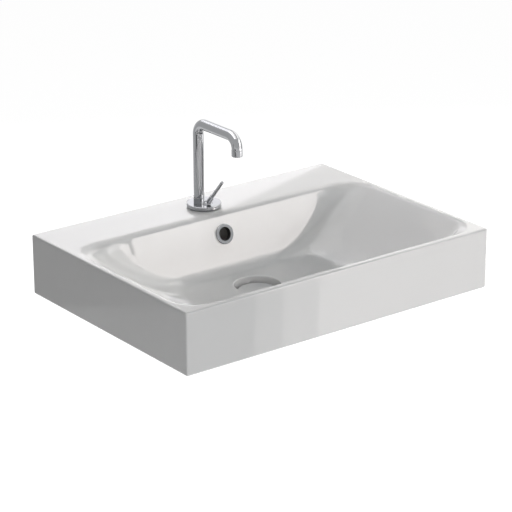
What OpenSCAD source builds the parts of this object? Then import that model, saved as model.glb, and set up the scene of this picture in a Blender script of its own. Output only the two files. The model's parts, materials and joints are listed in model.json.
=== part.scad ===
// Wall-hung washbasin with a one-hole joystick mixer and a push-open waste.
// Origin: middle of the two wall-fixing holes, on the back face.
// X runs along the wall, the front is towards -Y, +Z is up.

/* [Ceramic slab] */
// Width along the wall
basin_w = 600; // [540:1:700]
// Depth from the wall to the front
basin_d = 425; // [410:1:480]
// Height of the slab
basin_h = 102; // [96:1:130]
// Rounding of the outer top edges and upright corners
edge_r = 3; // [1.5:0.5:5]
// Width of the rim at the front, before it rolls into the bowl
front_rim = 8; // [6:0.5:20]
// Width of the rim at both ends
side_rim = 5; // [5:0.5:12]
// Depth of the tap ledge, before it rolls into the bowl
ledge_d = 89; // [88:0.5:96]
// Thickness of the tap ledge
deck_t = 14; // [10:0.5:18]
// Thickness of the apron at the back and ends
apron_t = 12; // [9:0.5:16]
// Thickness of the solid front, from its face to the hollow underneath
front_t = 48; // [44:0.5:60]
// Thickness of the bowl walls
skin_t = 9; // [7:0.5:11]
// Thickness of the bowl floor at the drain
floor_t = 8.5; // [7:0.5:12]
// Thickness of the two stiffening ribs under the ledge
rib_t = 10; // [7:0.5:14]

/* [Bowl shape] */
// Lean of the back wall, degrees from upright
back_lean = 18; // [16:0.5:20]
// Lean of the front wall, degrees from upright
front_lean = 10; // [6:0.5:16]
// Lean of the sloping ends, degrees from upright
end_lean = 52; // [46:0.5:54]
// Width of the soft roll from the ledge into the back wall
back_roll_w = 16; // [12:0.5:18]
// Depth of the soft roll from the ledge into the back wall
back_roll_h = 5; // [4:0.5:8]
// Roll of the rim into the front wall
front_rim_r = 7; // [4:0.5:10]
// Roll of the rim into the sloping ends
end_rim_r = 20; // [14:0.5:22]
// Blend of the back and front walls into the floor
wall_blend_r = 22; // [20:1:30]
// Blend of the sloping ends into the floor
end_blend_r = 110; // [80:1:120]
// Plan radius of the bowl corners at the rim
corner_rim_r = 50; // [40:1:60]
// Reach of the corners along the back and front walls, just below the rim
corner_top_r = 92; // [76:1:96]
// Reach of the corners along the back and front walls, half way down
corner_mid_r = 61; // [56:1:76]
// Reach of the corners along the sloping ends, half way down
corner_end_r = 44; // [40:1:60]
// Plan radius of the bowl corners at the floor
corner_floor_r = 80; // [76:1:90]
// Fall of the floor from its edge to the drain
floor_fall = 1; // [0.5:0.1:1.5]

/* [Drain] */
// Distance of the drain from the wall
drain_back = 204; // [200:1:216]
// Diameter of the round recess in the floor
recess_dia = 77; // [75:0.5:84]
// Depth of the recess below the floor
recess_depth = 19; // [16:0.5:24]
// Rounding of the recess mouth
recess_lip_r = 2; // [1:0.5:3]
// Diameter of the hole through the ceramic
drain_hole_dia = 45; // [44.5:0.5:48]
// Outer diameter of the ceramic collar round the drain
collar_dia = 94; // [92:1:104]
// Thickness of ceramic above and below the overflow passage
collar_lip = 7.5; // [6:0.5:10]

/* [Overflow] */
// Depth of the overflow hole below the rim
overflow_drop = 32.5; // [30:0.5:38]
// Diameter of the overflow hole in the ceramic
overflow_hole_dia = 26; // [24:0.5:28]
// Outer diameter of the overflow ring
ring_dia = 34; // [32:0.5:38]
// Free opening of the overflow ring
ring_bore_dia = 22.5; // [18:0.5:23]
// How far the overflow ring stands proud of the wall
ring_proud = 2.4; // [1.5:0.1:4]
// Length of the sleeve of the overflow ring
ring_sleeve_l = 8; // [5:0.5:12]
// Width of the passage behind the bowl
passage_w = 40; // [34:1:48]
// Depth of the passage, front to back or top to bottom
passage_t = 10; // [9:0.5:10.5]
// Wall round the passage
passage_wall = 6; // [5:0.5:6.5]

/* [Wall fixing] */
// Distance between the two wall-fixing holes
fix_spacing = 280; // [240:1:320]
// Diameter of the wall-fixing holes
fix_hole_dia = 14; // [11:0.5:18]
// Height of the wall-fixing holes above the underside
fix_up = 60; // [50:1:66]

/* [Waste] */
// Outer diameter of the threaded waste tube, a G 1 1/4 thread
waste_dia = 41.9; // [38:0.1:43.5]
// Wall of the waste tube
waste_wall = 3; // [2:0.1:4]
// Diameter of the waste flange
waste_flange_dia = 70; // [66:0.5:73]
// Thickness of the waste flange
waste_flange_t = 2.5; // [2:0.1:4]
// Length of the waste tube below the flange
waste_l = 88; // [84:1:110]
// Length of the free thread at the outlet, where the trap screws on
outlet_thread_l = 30; // [20:1:34]
// Width of one overflow slot in the waste tube
waste_slot_w = 9; // [6:0.5:14]
// Number of overflow slots
waste_slots = 4; // [3:1:6]
// Thickness of the seal under the flange
top_seal_t = 1.5; // [1:0.1:3]
// Height of the tapered seal under the ceramic
low_seal_h = 9; // [6:0.5:12]
// Thickness of the slip washer
slip_washer_t = 1.5; // [1:0.1:3]
// Height of the clamp nut
waste_nut_h = 11; // [8:0.5:14]
// Width across the flats of the clamp nut
waste_nut_af = 56; // [52:0.5:62]

/* [Plug] */
// Diameter of the plug disc
plug_dia = 65.5; // [62:0.5:69]
// Thickness of the plug disc
plug_t = 5; // [4:0.5:6]
// Height that the plug springs up when it opens
plug_lift = 8; // [4:0.5:10]
// Diameter of the plug stem
stem_dia = 7; // [5:0.5:8]
// Length of the plug stem below the disc
stem_l = 24; // [22:1:26]
// Outer diameter of the latch housing
latch_dia = 13; // [12:0.5:15]
// Length of the latch housing
latch_l = 34; // [32:1:40]
// Wire diameter of the plug spring
spring_wire = 1; // [0.8:0.1:1.2]
// Number of turns of the plug spring
spring_turns = 5; // [4:1:7]

/* [Mixer base] */
// Distance of the middle of the base plate from the wall
plate_back = 57; // [55:0.5:57.5]
// Diameter of the base plate
plate_dia = 58; // [56:0.5:60]
// Thickness of the base plate
plate_t = 6.5; // [6:0.5:9]
// Rounding of the top edge of the base plate
plate_edge_r = 1; // [0.5:0.1:1.5]
// Thickness of the gasket under the base plate
base_gasket_t = 1; // [0.5:0.1:2]
// Distance of the spout behind the middle of the plate
spout_back = 14; // [14:0.5:16]
// Distance of the lever in front of the middle of the plate
lever_fore = 8; // [8:0.5:9]
// Diameter of the tap hole
tap_hole_dia = 35; // [34:0.5:36]
// Outer diameter of the threaded shank
shank_dia = 33; // [31:0.5:33.5]
// Length of the shank below the ledge surface
shank_l = 62; // [60:1:80]
// Diameter of the cartridge
cartridge_dia = 25; // [22:0.5:25.5]
// Length of the cartridge
cartridge_l = 30; // [24:1:34]
// Thread hole for each flexible supply pipe, M10 x 1
inlet_dia = 9.2; // [8:0.1:10]
// Distance between the two supply holes
inlet_spacing = 15; // [13:0.5:18]
// Depth of the supply holes
inlet_l = 12; // [10:0.5:14]
// Outer diameter of the clamp washers under the ledge
clamp_dia = 48; // [46:0.5:49]
// Thickness of the rubber clamp washer
rubber_t = 3; // [2:0.5:4]
// Thickness of the steel clamp washer
steel_t = 2; // [1.5:0.5:3]
// Width across the flats of the shank nut
shank_nut_af = 40; // [38:0.5:41]
// Height of the shank nut
shank_nut_h = 8; // [6:0.5:12]

/* [Spout] */
// Outer diameter of the spout tube
tube_dia = 18; // [16:0.5:18]
// Wall of the spout tube
tube_wall = 1.5; // [1:0.1:2]
// Height of the arm's middle line above the ledge
arm_up = 142.5; // [120:0.5:200]
// Reach from the upright tube to the outlet
spout_reach = 107; // [90:1:140]
// Bend radius at the tube's middle line
bend_r = 19; // [16:0.5:24]
// Height of the outlet's end above the ledge
outlet_up = 111.5; // [90:0.5:114]
// Height of the fixed collar at the foot of the spout
spout_collar_h = 5.5; // [4:0.5:8]
// Diameter of the spigot inside the collar
spigot_dia = 13; // [12:0.5:14]
// Width of the visible joint between collar and tube
joint_gap = 0.4; // [0.3:0.1:0.6]
// Radial running clearance of turning parts
run_gap = 0.05; // [0.02:0.01:0.1]
// Outer diameter of the aerator housing
aerator_dia = 18.3; // [18.2:0.1:20]
// Height of the aerator housing
aerator_h = 10.5; // [9:0.5:11]

/* [Lever] */
// Diameter of the lever ball
ball_dia = 14; // [13:0.5:14.5]
// Outer diameter of the turning ring round the ball
turn_ring_dia = 19.5; // [18.5:0.5:20]
// Lean of the lever at rest, degrees from upright
lever_lean = 41; // [35:1:44]
// Length of the lever from the ball's middle to its tip
lever_l = 68; // [50:1:80]
// Diameter of the thick part of the lever
lever_foot_dia = 8; // [6:0.5:8.5]
// Length of the thick part, from the ball's middle
lever_foot_l = 25; // [18:1:30]
// Diameter of the thin part of the lever
lever_rod_dia = 5.6; // [4:0.1:6]
// Diameter of the pivot pin
pivot_dia = 3; // [2:0.5:4]

/* [Hidden] */

$fn = 96;
// Overshoot of cutting shapes past the face that they cut
cut = 1;
// Gap on the radius, or on a face, between parts that only pass each other
loose_gap = 0.3;
// Small rounding or chamfer on a turned edge
small_edge = 0.4;

// Main levels
under_z = -fix_up;
rim_z = under_z + basin_h;
ceiling_z = rim_z - deck_t;
floor_z = under_z + floor_t + floor_fall;
drain_z = under_z + floor_t;
bowl_depth = rim_z - floor_z;

// Plan limits of the bowl's mouth, where the rim starts to roll in
mouth_a = basin_w / 2 - side_rim;
mouth_back = -ledge_d;
mouth_front = front_rim - basin_d;
drain_y = -drain_back;

// Points on each corner of one contour of the bowl
corner_n = 14;
// Share of the depth at which the corners are widest
corner_top_at = 0.1;
// Share of the depth over which they draw in from there
corner_draw = 0.6;
// Share of the depth from which the corners open to their floor radius
corner_low_at = 0.6;

// Distance that a leaning wall has come in at a depth below the rim.
// The wall rolls in from the rim, runs straight, then blends into the floor.
function wall_in(d, lean, roll_w, roll_h, low_r) =
    let(
        t = atan(tan(lean) * roll_h / roll_w),
        d1 = roll_h * (1 - sin(t)),
        d2 = bowl_depth - low_r * (1 - sin(lean)),
        in1 = roll_w * cos(t),
        in2 = in1 + (d2 - d1) * tan(lean)
    )
    d <= 0 ? 0
    : d < d1 ? roll_w / roll_h * sqrt(max(0, roll_h * roll_h - pow(roll_h - d, 2)))
    : d < d2 ? in1 + (d - d1) * tan(lean)
    : in2 + low_r * cos(lean) - sqrt(max(0, low_r * low_r - pow(d - bowl_depth + low_r, 2)));

function back_in(d) = wall_in(d, back_lean, back_roll_w, back_roll_h, wall_blend_r);
function front_in(d) = wall_in(d, front_lean, front_rim_r, front_rim_r, wall_blend_r);
function end_in(d) = wall_in(d, end_lean, end_rim_r, end_rim_r, end_blend_r);

// Smooth step from 0 to 1 as t goes from 0 to 1
function ease(t) = let(u = min(1, max(0, t))) u * u * (3 - 2 * u);

// Reach of the bowl's corners at a depth below the rim: along the walls, along the ends
function corner_r(d) =
    let(
        t = d / bowl_depth,
        opened = ease(t / corner_top_at),
        drawn = 1 - pow(1 - min(1, max(0, (t - corner_top_at) / corner_draw)), 3),
        low = ease((t - corner_low_at) / (1 - corner_low_at))
    )
    [
        corner_rim_r + (corner_top_r - corner_rim_r) * opened
            + (corner_mid_r - corner_top_r) * drawn + (corner_floor_r - corner_mid_r) * low,
        corner_rim_r + (corner_end_r - corner_rim_r) * opened + (corner_floor_r - corner_end_r) * low
    ];

// One closed contour: a rectangle with round corners, counter-clockwise
function contour(a, back, front, r, z) = [
    for (k = [0:3])
        let(
            sx = (k == 0 || k == 3) ? 1 : -1,
            cx = sx * (a - r[0]),
            cy = k < 2 ? back - r[1] : front + r[1]
        )
        for (i = [0:corner_n - 1])
            let(t = 90 * k + 90 * i / (corner_n - 1))
            [cx + r[0] * cos(t), cy + r[1] * sin(t), z]
];

// The bowl's contour at a depth, with the walls moved out by a thickness
function bowl_contour(d, z, wall_grow, end_grow) = contour(
    mouth_a - end_in(d) + end_grow,
    mouth_back - back_in(d) + wall_grow,
    mouth_front + front_in(d) - wall_grow,
    corner_r(d) + [wall_grow, wall_grow],
    z
);

// Solid between a stack of contours, first one on top
module loft(rings) {
    n = len(rings[0]);
    m = len(rings);
    polyhedron(
        points = [for (ring = rings) each ring],
        faces = concat(
            [[for (i = [0:n - 1]) n - 1 - i]],
            [for (k = [0:m - 2]) for (i = [0:n - 1])
                let(j = (i + 1) % n, p = k * n, q = p + n)
                each [[p + i, p + j, q + j], [p + i, q + j, q + i]]],
            [[for (i = [0:n - 1]) (m - 1) * n + i]]
        ),
        convexity = 6
    );
}

// Depths at which the bowl's contours are taken
blend_d = max(wall_blend_r * (1 - sin(back_lean)), end_blend_r * (1 - sin(end_lean)));
roll_d = 0.6 * end_rim_r;
roll_steps = 5;
wall_steps = 6;
blend_steps = 8;
bowl_depths = concat(
    [for (i = [0:roll_steps]) roll_d * (1 - cos(90 * i / roll_steps))],
    [for (i = [1:wall_steps]) roll_d + (bowl_depth - blend_d - roll_d) * i / wall_steps],
    [for (i = [1:blend_steps]) bowl_depth - blend_d * (1 - sin(90 * i / blend_steps))]
);

// The floor runs from the foot of the walls to a circle round the drain
flat_margin = 0.5;
flat_r = recess_dia / 2 + recess_lip_r + flat_margin;
floor_steps = 3;
function floor_contour(t) =
    let(
        a = mouth_a - end_in(bowl_depth),
        b = mouth_back - back_in(bowl_depth),
        f = mouth_front + front_in(bowl_depth),
        r = corner_floor_r + (flat_r - corner_floor_r) * t
    )
    contour(
        a + (flat_r - a) * t,
        b + (drain_y + flat_r - b) * t,
        f + (drain_y - flat_r - f) * t,
        [r, r],
        floor_z - floor_fall * t
    );

module bowl_space() {
    loft(concat(
        [bowl_contour(0, rim_z + cut, 0, 0)],
        [for (d = bowl_depths) bowl_contour(d, rim_z - d, 0, 0)],
        [for (i = [1:floor_steps]) floor_contour(i / floor_steps)]
    ));
}

// Outside of the bowl's skin, down to just past the underside
skin_depth_n = 9;
// Level thickness of the sloping ends
end_skin = 0.94 * skin_t / cos(end_lean);
// How far the skin sinks into the slab's floor
skin_sink = 0.6 * floor_t;
module bowl_skin() {
    loft(concat(
        [bowl_contour(0, rim_z + cut, skin_t, end_skin)],
        [for (i = [0:skin_depth_n])
            let(d = bowl_depth * sin(90 * i / skin_depth_n))
            bowl_contour(d, rim_z - d - skin_sink * ease(d / bowl_depth), skin_t, end_skin)],
        [bowl_contour(bowl_depth, under_z - cut, skin_t, end_skin)]
    ));
}

// Slab with rounded top edges and upright corners
module slab() {
    a = basin_w / 2 - edge_r;
    y_back = 0;
    y_front = -basin_d + edge_r;
    low = rim_z - edge_r;
    translate([-a - edge_r, y_front, under_z]) cube([2 * a + 2 * edge_r, -y_front, basin_h - edge_r]);
    translate([-a, -basin_d, under_z]) cube([2 * a, basin_d, basin_h - edge_r]);
    translate([-a, y_front, under_z]) cube([2 * a, -y_front, basin_h]);
    for (sx = [-1, 1]) {
        translate([sx * a, y_front, under_z]) cylinder(r = edge_r, h = basin_h - edge_r);
        translate([sx * a, y_front, low]) sphere(r = edge_r);
        translate([sx * a, y_back, low]) rotate([90, 0, 0]) cylinder(r = edge_r, h = -y_front);
    }
    translate([-a, y_front, low]) rotate([0, 90, 0]) cylinder(r = edge_r, h = 2 * a);
}

// Overflow passage, measured from the back wall of the bowl
overflow_z = rim_z - overflow_drop;
overflow_y = mouth_back - back_in(overflow_drop);
// The passage bites a little into the skin behind the overflow hole
passage_bite = 0.15 * skin_t;
passage_front = overflow_y + skin_t - passage_bite;
passage_back = passage_front + passage_t;
overflow_hole_deep = 1.4 * passage_t;
seat_z = drain_z - recess_depth;
passage_top_z = seat_z - collar_lip;
passage_low_z = passage_top_z - passage_t;
collar_z = passage_low_z - collar_lip;
passage_wide = passage_w + 2 * passage_wall;
// How far the passage's top stays below the top of the overflow hole
passage_head = 7;

module passage_block() {
    back = passage_back + passage_wall;
    foot = overflow_y - 2 * skin_t;
    translate([-passage_wide / 2, foot, collar_z])
        cube([passage_wide, back - foot, ceiling_z - collar_z + cut]);
    translate([-passage_wide / 2, drain_y, collar_z])
        cube([passage_wide, foot - drain_y + cut, under_z + cut - collar_z]);
    translate([0, drain_y, collar_z]) cylinder(d = collar_dia, h = under_z + cut - collar_z);
}

module passage_space() {
    top = overflow_z + overflow_hole_dia / 2 - passage_head;
    translate([-passage_w / 2, passage_front, passage_low_z])
        cube([passage_w, passage_t, top - passage_low_z]);
    translate([-passage_w / 2, drain_y, passage_low_z])
        cube([passage_w, passage_front + passage_t - drain_y, passage_t]);
}

// Stiffening ribs: place of each beside its fixing hole, and reach past the ledge
rib_out = 55;
rib_past = 60;
rib_x = fix_spacing / 2 + rib_out;

// Hollow under the ledge and the ends, open below
module service_hollow() {
    a = basin_w / 2 - apron_t;
    difference() {
        translate([-a, -basin_d + front_t, under_z - cut])
            cube([2 * a, basin_d - front_t - apron_t, ceiling_z - under_z + cut]);
        bowl_skin();
        for (sx = [-1, 1])
            translate([sx * rib_x - rib_t / 2, -ledge_d - rib_past, under_z - 2 * cut])
                cube([rib_t, ledge_d + rib_past, basin_h]);
        passage_block();
    }
}

// Upright hole with a rounded mouth at the bowl floor
module drain_recess() {
    r = recess_dia / 2;
    translate([0, drain_y, 0]) rotate_extrude() difference() {
        translate([0, seat_z]) square([r + recess_lip_r, recess_depth + 3 * cut]);
        translate([r, seat_z - cut]) square([recess_lip_r + cut, recess_depth - recess_lip_r + cut]);
        translate([r + recess_lip_r, drain_z - recess_lip_r]) circle(r = recess_lip_r, $fn = 48);
    }
}

module basin_body() {
    color([0.93, 0.93, 0.92]) difference() {
        union() {
            slab();
            difference() {
                passage_block();
                translate([-basin_w, -basin_d, under_z + cut])
                    cube([2 * basin_w, 2 * basin_d, basin_h]);
            }
        }
        bowl_space();
        service_hollow();
        drain_recess();
        passage_space();
        translate([0, drain_y, collar_z - cut]) cylinder(d = drain_hole_dia, h = seat_z - collar_z + 2 * cut);
        translate([0, overflow_y, overflow_z]) rotate([90 - back_lean, 0, 0])
            translate([0, 0, -overflow_hole_deep])
                cylinder(d = overflow_hole_dia, h = overflow_hole_deep + passage_t);
        translate([0, tap_y, ceiling_z - cut]) cylinder(d = tap_hole_dia, h = deck_t + 2 * cut);
        for (sx = [-1, 1])
            translate([sx * fix_spacing / 2, cut, 0]) rotate([90, 0, 0])
                cylinder(d = fix_hole_dia, h = apron_t + 2 * cut);
    }
}

// Chrome ring in the overflow hole, square to the leaning wall
module overflow_ring() {
    r_out = ring_dia / 2;
    r_in = ring_bore_dia / 2;
    r_sleeve = overflow_hole_dia / 2 - loose_gap;
    chamfer = 1;
    color([0.75, 0.76, 0.78]) translate([0, overflow_y, overflow_z]) rotate([90 - back_lean, 0, 0])
        rotate_extrude() difference() {
            union() {
                translate([r_in, -ring_sleeve_l]) square([r_sleeve - r_in, ring_sleeve_l + ring_proud]);
                translate([r_in, 0]) square([r_out - r_in - ring_proud, ring_proud]);
                translate([r_out - ring_proud, 0]) intersection() {
                    circle(r = ring_proud, $fn = 48);
                    square(ring_proud);
                }
            }
            translate([r_in, ring_proud]) rotate(45) square(sqrt(2) * chamfer, center = true);
        }
}

// Waste, from the seal seat down
flange_top_z = seat_z + top_seal_t + waste_flange_t;
waste_low_z = flange_top_z - waste_flange_t - waste_l;
waste_bore = waste_dia - 2 * waste_wall;
// How far the plug seat opens out, on the radius
seat_flare = 3.4;
// Depth and width of the groove where the outlet thread ends
relief_d = 0.8;
relief_w = 1.2;
// Three-armed bridge that carries the latch housing
bridge_drop = 6;
bridge_t = 4;
bridge_arm_t = 3;
bridge_hub_t = 2;
bridge_z = passage_low_z - bridge_drop;

module waste_body() {
    r = waste_dia / 2;
    ri = waste_bore / 2;
    thread_z = waste_low_z + outlet_thread_l;
    under_flange_z = flange_top_z - waste_flange_t;
    chamfer = 1;
    color([0.76, 0.77, 0.79]) translate([0, drain_y, 0]) {
        difference() {
            rotate_extrude() polygon([
                [ri, waste_low_z],
                [r, waste_low_z],
                [r, thread_z],
                [r - relief_d, thread_z + relief_d],
                [r - relief_d, thread_z + relief_d + relief_w],
                [r, thread_z + 2 * relief_d + relief_w],
                [r, under_flange_z],
                [waste_flange_dia / 2 - chamfer, under_flange_z],
                [waste_flange_dia / 2, under_flange_z + chamfer],
                [waste_flange_dia / 2, flange_top_z],
                [ri + seat_flare, flange_top_z],
                [ri, under_flange_z - seat_flare]
            ]);
            for (k = [0:waste_slots - 1])
                rotate(360 * (k + 0.5) / waste_slots)
                    translate([ri - cut, -waste_slot_w / 2, passage_low_z])
                        cube([waste_wall + 2 * cut, waste_slot_w, passage_t]);
        }
        for (k = [0:2])
            rotate(90 + 120 * k)
                translate([latch_dia / 2 + bridge_hub_t / 2, -bridge_arm_t / 2, bridge_z])
                    cube([ri - latch_dia / 2, bridge_arm_t, bridge_t]);
        translate([0, 0, bridge_z]) difference() {
            cylinder(r = latch_dia / 2 + bridge_hub_t, h = bridge_t);
            translate([0, 0, -cut]) cylinder(r = latch_dia / 2, h = bridge_t + 2 * cut);
        }
    }
}

// Flat ring round the Z axis
module flat_ring(outer_dia, bore_dia, height) {
    difference() {
        cylinder(d = outer_dia, h = height);
        translate([0, 0, -cut]) cylinder(d = bore_dia, h = height + 2 * cut);
    }
}

// How far gaskets stay inside the flange that they sit under
gasket_inset = 1.5;
waste_hole = waste_dia + 2 * loose_gap;

module waste_top_seal() {
    color([0.2, 0.2, 0.2]) translate([0, drain_y, seat_z])
        flat_ring(waste_flange_dia - 2 * gasket_inset, waste_hole, top_seal_t);
}

low_seal_wide = 8;

module waste_lower_seal() {
    r = waste_hole / 2;
    taper_w = 2;
    taper_h = 3;
    color([0.2, 0.2, 0.2]) translate([0, drain_y, collar_z - low_seal_h]) rotate_extrude() polygon([
        [r, 0],
        [r + low_seal_wide, 0],
        [r + low_seal_wide, low_seal_h - taper_h],
        [r + low_seal_wide - taper_w, low_seal_h],
        [r, low_seal_h]
    ]);
}

module waste_slip_washer() {
    overhang = 0.7;
    color([0.86, 0.86, 0.84]) translate([0, drain_y, collar_z - low_seal_h - slip_washer_t])
        flat_ring(waste_hole + 2 * low_seal_wide + 2 * overhang, waste_hole, slip_washer_t);
}

// Share of a nut's height that each chamfer takes
nut_chamfer = 0.16;

module hex_nut(flats, height, hole) {
    corner = flats / 2 / cos(30) + 0.1;
    intersection() {
        difference() {
            cylinder(d = flats / cos(30), h = height, $fn = 6);
            translate([0, 0, -cut]) cylinder(d = hole, h = height + 2 * cut);
        }
        rotate_extrude() polygon([
            [0, 0],
            [flats / 2, 0],
            [corner, height * nut_chamfer],
            [corner, height * (1 - nut_chamfer)],
            [flats / 2, height],
            [0, height]
        ]);
    }
}

module waste_nut() {
    color([0.8, 0.68, 0.42])
        translate([0, drain_y, collar_z - low_seal_h - slip_washer_t - waste_nut_h])
            hex_nut(waste_nut_af, waste_nut_h, waste_hole);
}

// Latch that holds the plug down until it is pushed again
plug_low_z = flange_top_z;
latch_drop = 4;
latch_top_z = plug_low_z - latch_drop;
stem_low_z = plug_low_z - stem_l;
latch_bore = stem_dia + 3;
// Thickness of the latch housing's foot and neck
latch_end_t = 3;

module latch_housing() {
    color([0.8, 0.68, 0.42]) translate([0, drain_y, latch_top_z - latch_l]) difference() {
        cylinder(d = latch_dia, h = latch_l);
        translate([0, 0, latch_end_t]) cylinder(d = latch_bore, h = latch_l - 2 * latch_end_t);
        translate([0, 0, latch_end_t]) cylinder(d = stem_dia + 2 * run_gap, h = latch_l);
    }
}

// Compression spring below the stem, inside the latch housing
spring_rest_gap = 0.2;
spring_low_z = latch_top_z - latch_l + latch_end_t + spring_rest_gap;
spring_h = stem_low_z - spring_low_z - loose_gap;
spring_r = stem_dia / 2 - spring_wire / 2;
spring_sides = 6;
spring_per_turn = 12;

module plug_spring() {
    count = spring_turns * spring_per_turn;
    rise = spring_h - spring_wire;
    color([0.7, 0.7, 0.72]) translate([0, drain_y, spring_low_z + spring_wire / 2]) loft([
        for (k = [count:-1:0])
            let(t = 360 * k / spring_per_turn, z = rise * k / count)
            [for (i = [0:spring_sides - 1])
                let(
                    u = 360 * i / spring_sides,
                    q = spring_r + spring_wire / 2 * cos(u)
                )
                [q * cos(t), q * sin(t), z + spring_wire / 2 * sin(u)]]
    ]);
}

// Closed, the disc stays this far above the flange
plug_gap = 0.3;
plug_edge_r = 1.6;

module plug_cap() {
    r = plug_dia / 2;
    e = plug_edge_r;
    h = plug_t - plug_gap;
    color([0.93, 0.93, 0.92]) translate([0, drain_y, plug_low_z + plug_gap]) rotate_extrude() union() {
        square([r - e, h]);
        square([r, h - e]);
        translate([r - e, h - e]) intersection() {
            circle(r = e, $fn = 48);
            square(e);
        }
    }
}

module plug_seal() {
    low = 1.4;
    r = waste_bore / 2 + seat_flare - low / 2;
    color([0.2, 0.2, 0.2]) translate([0, drain_y, plug_low_z]) rotate_extrude() polygon([
        [stem_dia / 2, -low],
        [r - low / 2, -low],
        [r, plug_gap],
        [stem_dia / 2, plug_gap]
    ]);
}

module plug_stem() {
    color([0.78, 0.79, 0.8]) translate([0, drain_y, stem_low_z])
        cylinder(d = stem_dia, h = stem_l + plug_gap);
}

// Mixer: base plate with the spout behind and the lever in front
plate_y = -plate_back;
spout_y = plate_y + spout_back;
tap_y = plate_y - lever_fore;
plate_low_z = rim_z + base_gasket_t;
plate_top_z = plate_low_z + plate_t;
// Metal above the pivot pin
pivot_cover = 0.8;
ball_z = plate_top_z - pivot_dia / 2 - pivot_cover;
ring_bore = turn_ring_dia / 2 + run_gap;
// Ledge at the bottom of the plate's two seats
ledge_t = 1.2;
ledge_wide = 1.5;
spigot_hole = spigot_dia + 2 * run_gap;
screw_dia = 3;
spigot_l = spout_collar_h + plate_t - ledge_t;

module mixer_plate() {
    r = plate_dia / 2;
    e = plate_edge_r;
    color([0.75, 0.76, 0.78]) difference() {
        translate([0, plate_y, plate_low_z]) rotate_extrude() union() {
            square([r - e, plate_t]);
            square([r, plate_t - e]);
            translate([r - e, plate_t - e]) circle(r = e, $fn = 48);
        }
        translate([0, tap_y, plate_low_z + ledge_t]) cylinder(r = ring_bore, h = plate_t);
        translate([0, tap_y, plate_low_z - cut]) cylinder(r = ring_bore - ledge_wide, h = plate_t);
        translate([0, spout_y, plate_low_z + ledge_t]) cylinder(d = spigot_hole, h = plate_t);
        translate([0, spout_y, plate_low_z + plate_t / 2]) rotate([-90, 0, 0])
            cylinder(d = screw_dia, h = r);
    }
}

shank_hole = shank_dia + 2 * loose_gap;

module plate_gasket() {
    color([0.2, 0.2, 0.2]) difference() {
        translate([0, plate_y, rim_z]) cylinder(d = plate_dia - 2 * gasket_inset, h = base_gasket_t);
        translate([0, tap_y, rim_z - cut]) cylinder(d = shank_hole, h = base_gasket_t + 2 * cut);
    }
}

module shank() {
    low_z = rim_z - shank_l;
    bore = cartridge_dia + 2 * cartridge_gap;
    color([0.8, 0.68, 0.42]) translate([0, tap_y, 0]) difference() {
        translate([0, 0, low_z]) cylinder(d = shank_dia, h = plate_low_z - low_z);
        translate([0, 0, cartridge_low_z]) cylinder(d = bore, h = shank_l);
        for (sx = [-1, 1])
            translate([sx * inlet_spacing / 2, 0, low_z - cut]) cylinder(d = inlet_dia, h = inlet_l + cut);
    }
}
ball_tail_l = 6;
ball_tail_r = 2;
// Side play of the cartridge in the shank
cartridge_gap = 0.2;
cartridge_top_z = ball_z - ball_dia / 2 - ball_tail_l - loose_gap;
cartridge_low_z = cartridge_top_z - cartridge_l;
// The cartridge steps in twice at its top, and the ring nut sits on the wide step
cartridge_neck_h = 8;
cartridge_step_h = 4;
cartridge_step_w = 2;
cartridge_nose_dia = 16;

module cartridge() {
    color([0.9, 0.9, 0.88]) translate([0, tap_y, cartridge_low_z]) {
        cylinder(d = cartridge_dia, h = cartridge_l - cartridge_neck_h);
        cylinder(d = cartridge_dia - 2 * cartridge_step_w, h = cartridge_l - cartridge_step_h);
        cylinder(d = cartridge_nose_dia, h = cartridge_l);
    }
}

// Ring that screws into the shank and holds the cartridge down
module cartridge_nut() {
    r = cartridge_dia / 2 + cartridge_gap;
    bore_r = cartridge_dia / 2 - cartridge_step_w + loose_gap;
    h = 6;
    slot_w = 2.5;
    slot_d = 2;
    color([0.8, 0.68, 0.42]) translate([0, tap_y, cartridge_top_z - cartridge_neck_h]) difference() {
        flat_ring(2 * r, 2 * bore_r, h);
        translate([-r - cut, -slot_w / 2, h - slot_d]) cube([2 * r + 2 * cut, slot_w, slot_d + cut]);
    }
}

module rubber_washer() {
    color([0.2, 0.2, 0.2]) translate([0, tap_y, ceiling_z - rubber_t])
        flat_ring(clamp_dia, shank_hole, rubber_t);
}

module steel_washer() {
    color([0.7, 0.71, 0.73]) translate([0, tap_y, ceiling_z - rubber_t - steel_t])
        flat_ring(clamp_dia, shank_hole, steel_t);
}

module shank_nut() {
    color([0.8, 0.68, 0.42]) translate([0, tap_y, ceiling_z - rubber_t - steel_t - shank_nut_h])
        hex_nut(shank_nut_af, shank_nut_h, shank_hole);
}

// Spout: a fixed collar, a spigot that turns in it, and the bent tube
collar_top_z = plate_top_z + spout_collar_h;
tube_low_z = collar_top_z + joint_gap;
spigot_low_z = plate_low_z + ledge_t + loose_gap;
arm_z = rim_z + arm_up;
outlet_y = spout_y - spout_reach;
outlet_z = rim_z + outlet_up;
aerator_top_z = outlet_z + aerator_h;
tube_bore = tube_dia - 2 * tube_wall;

module spout_collar() {
    r = tube_dia / 2;
    color([0.75, 0.76, 0.78]) translate([0, spout_y, plate_top_z]) difference() {
        rotate_extrude() polygon([
            [0, 0],
            [r, 0],
            [r, spout_collar_h - small_edge],
            [r - small_edge, spout_collar_h],
            [0, spout_collar_h]
        ]);
        translate([0, 0, -cut]) cylinder(d = spigot_hole, h = spout_collar_h + 2 * cut);
    }
}

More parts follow.
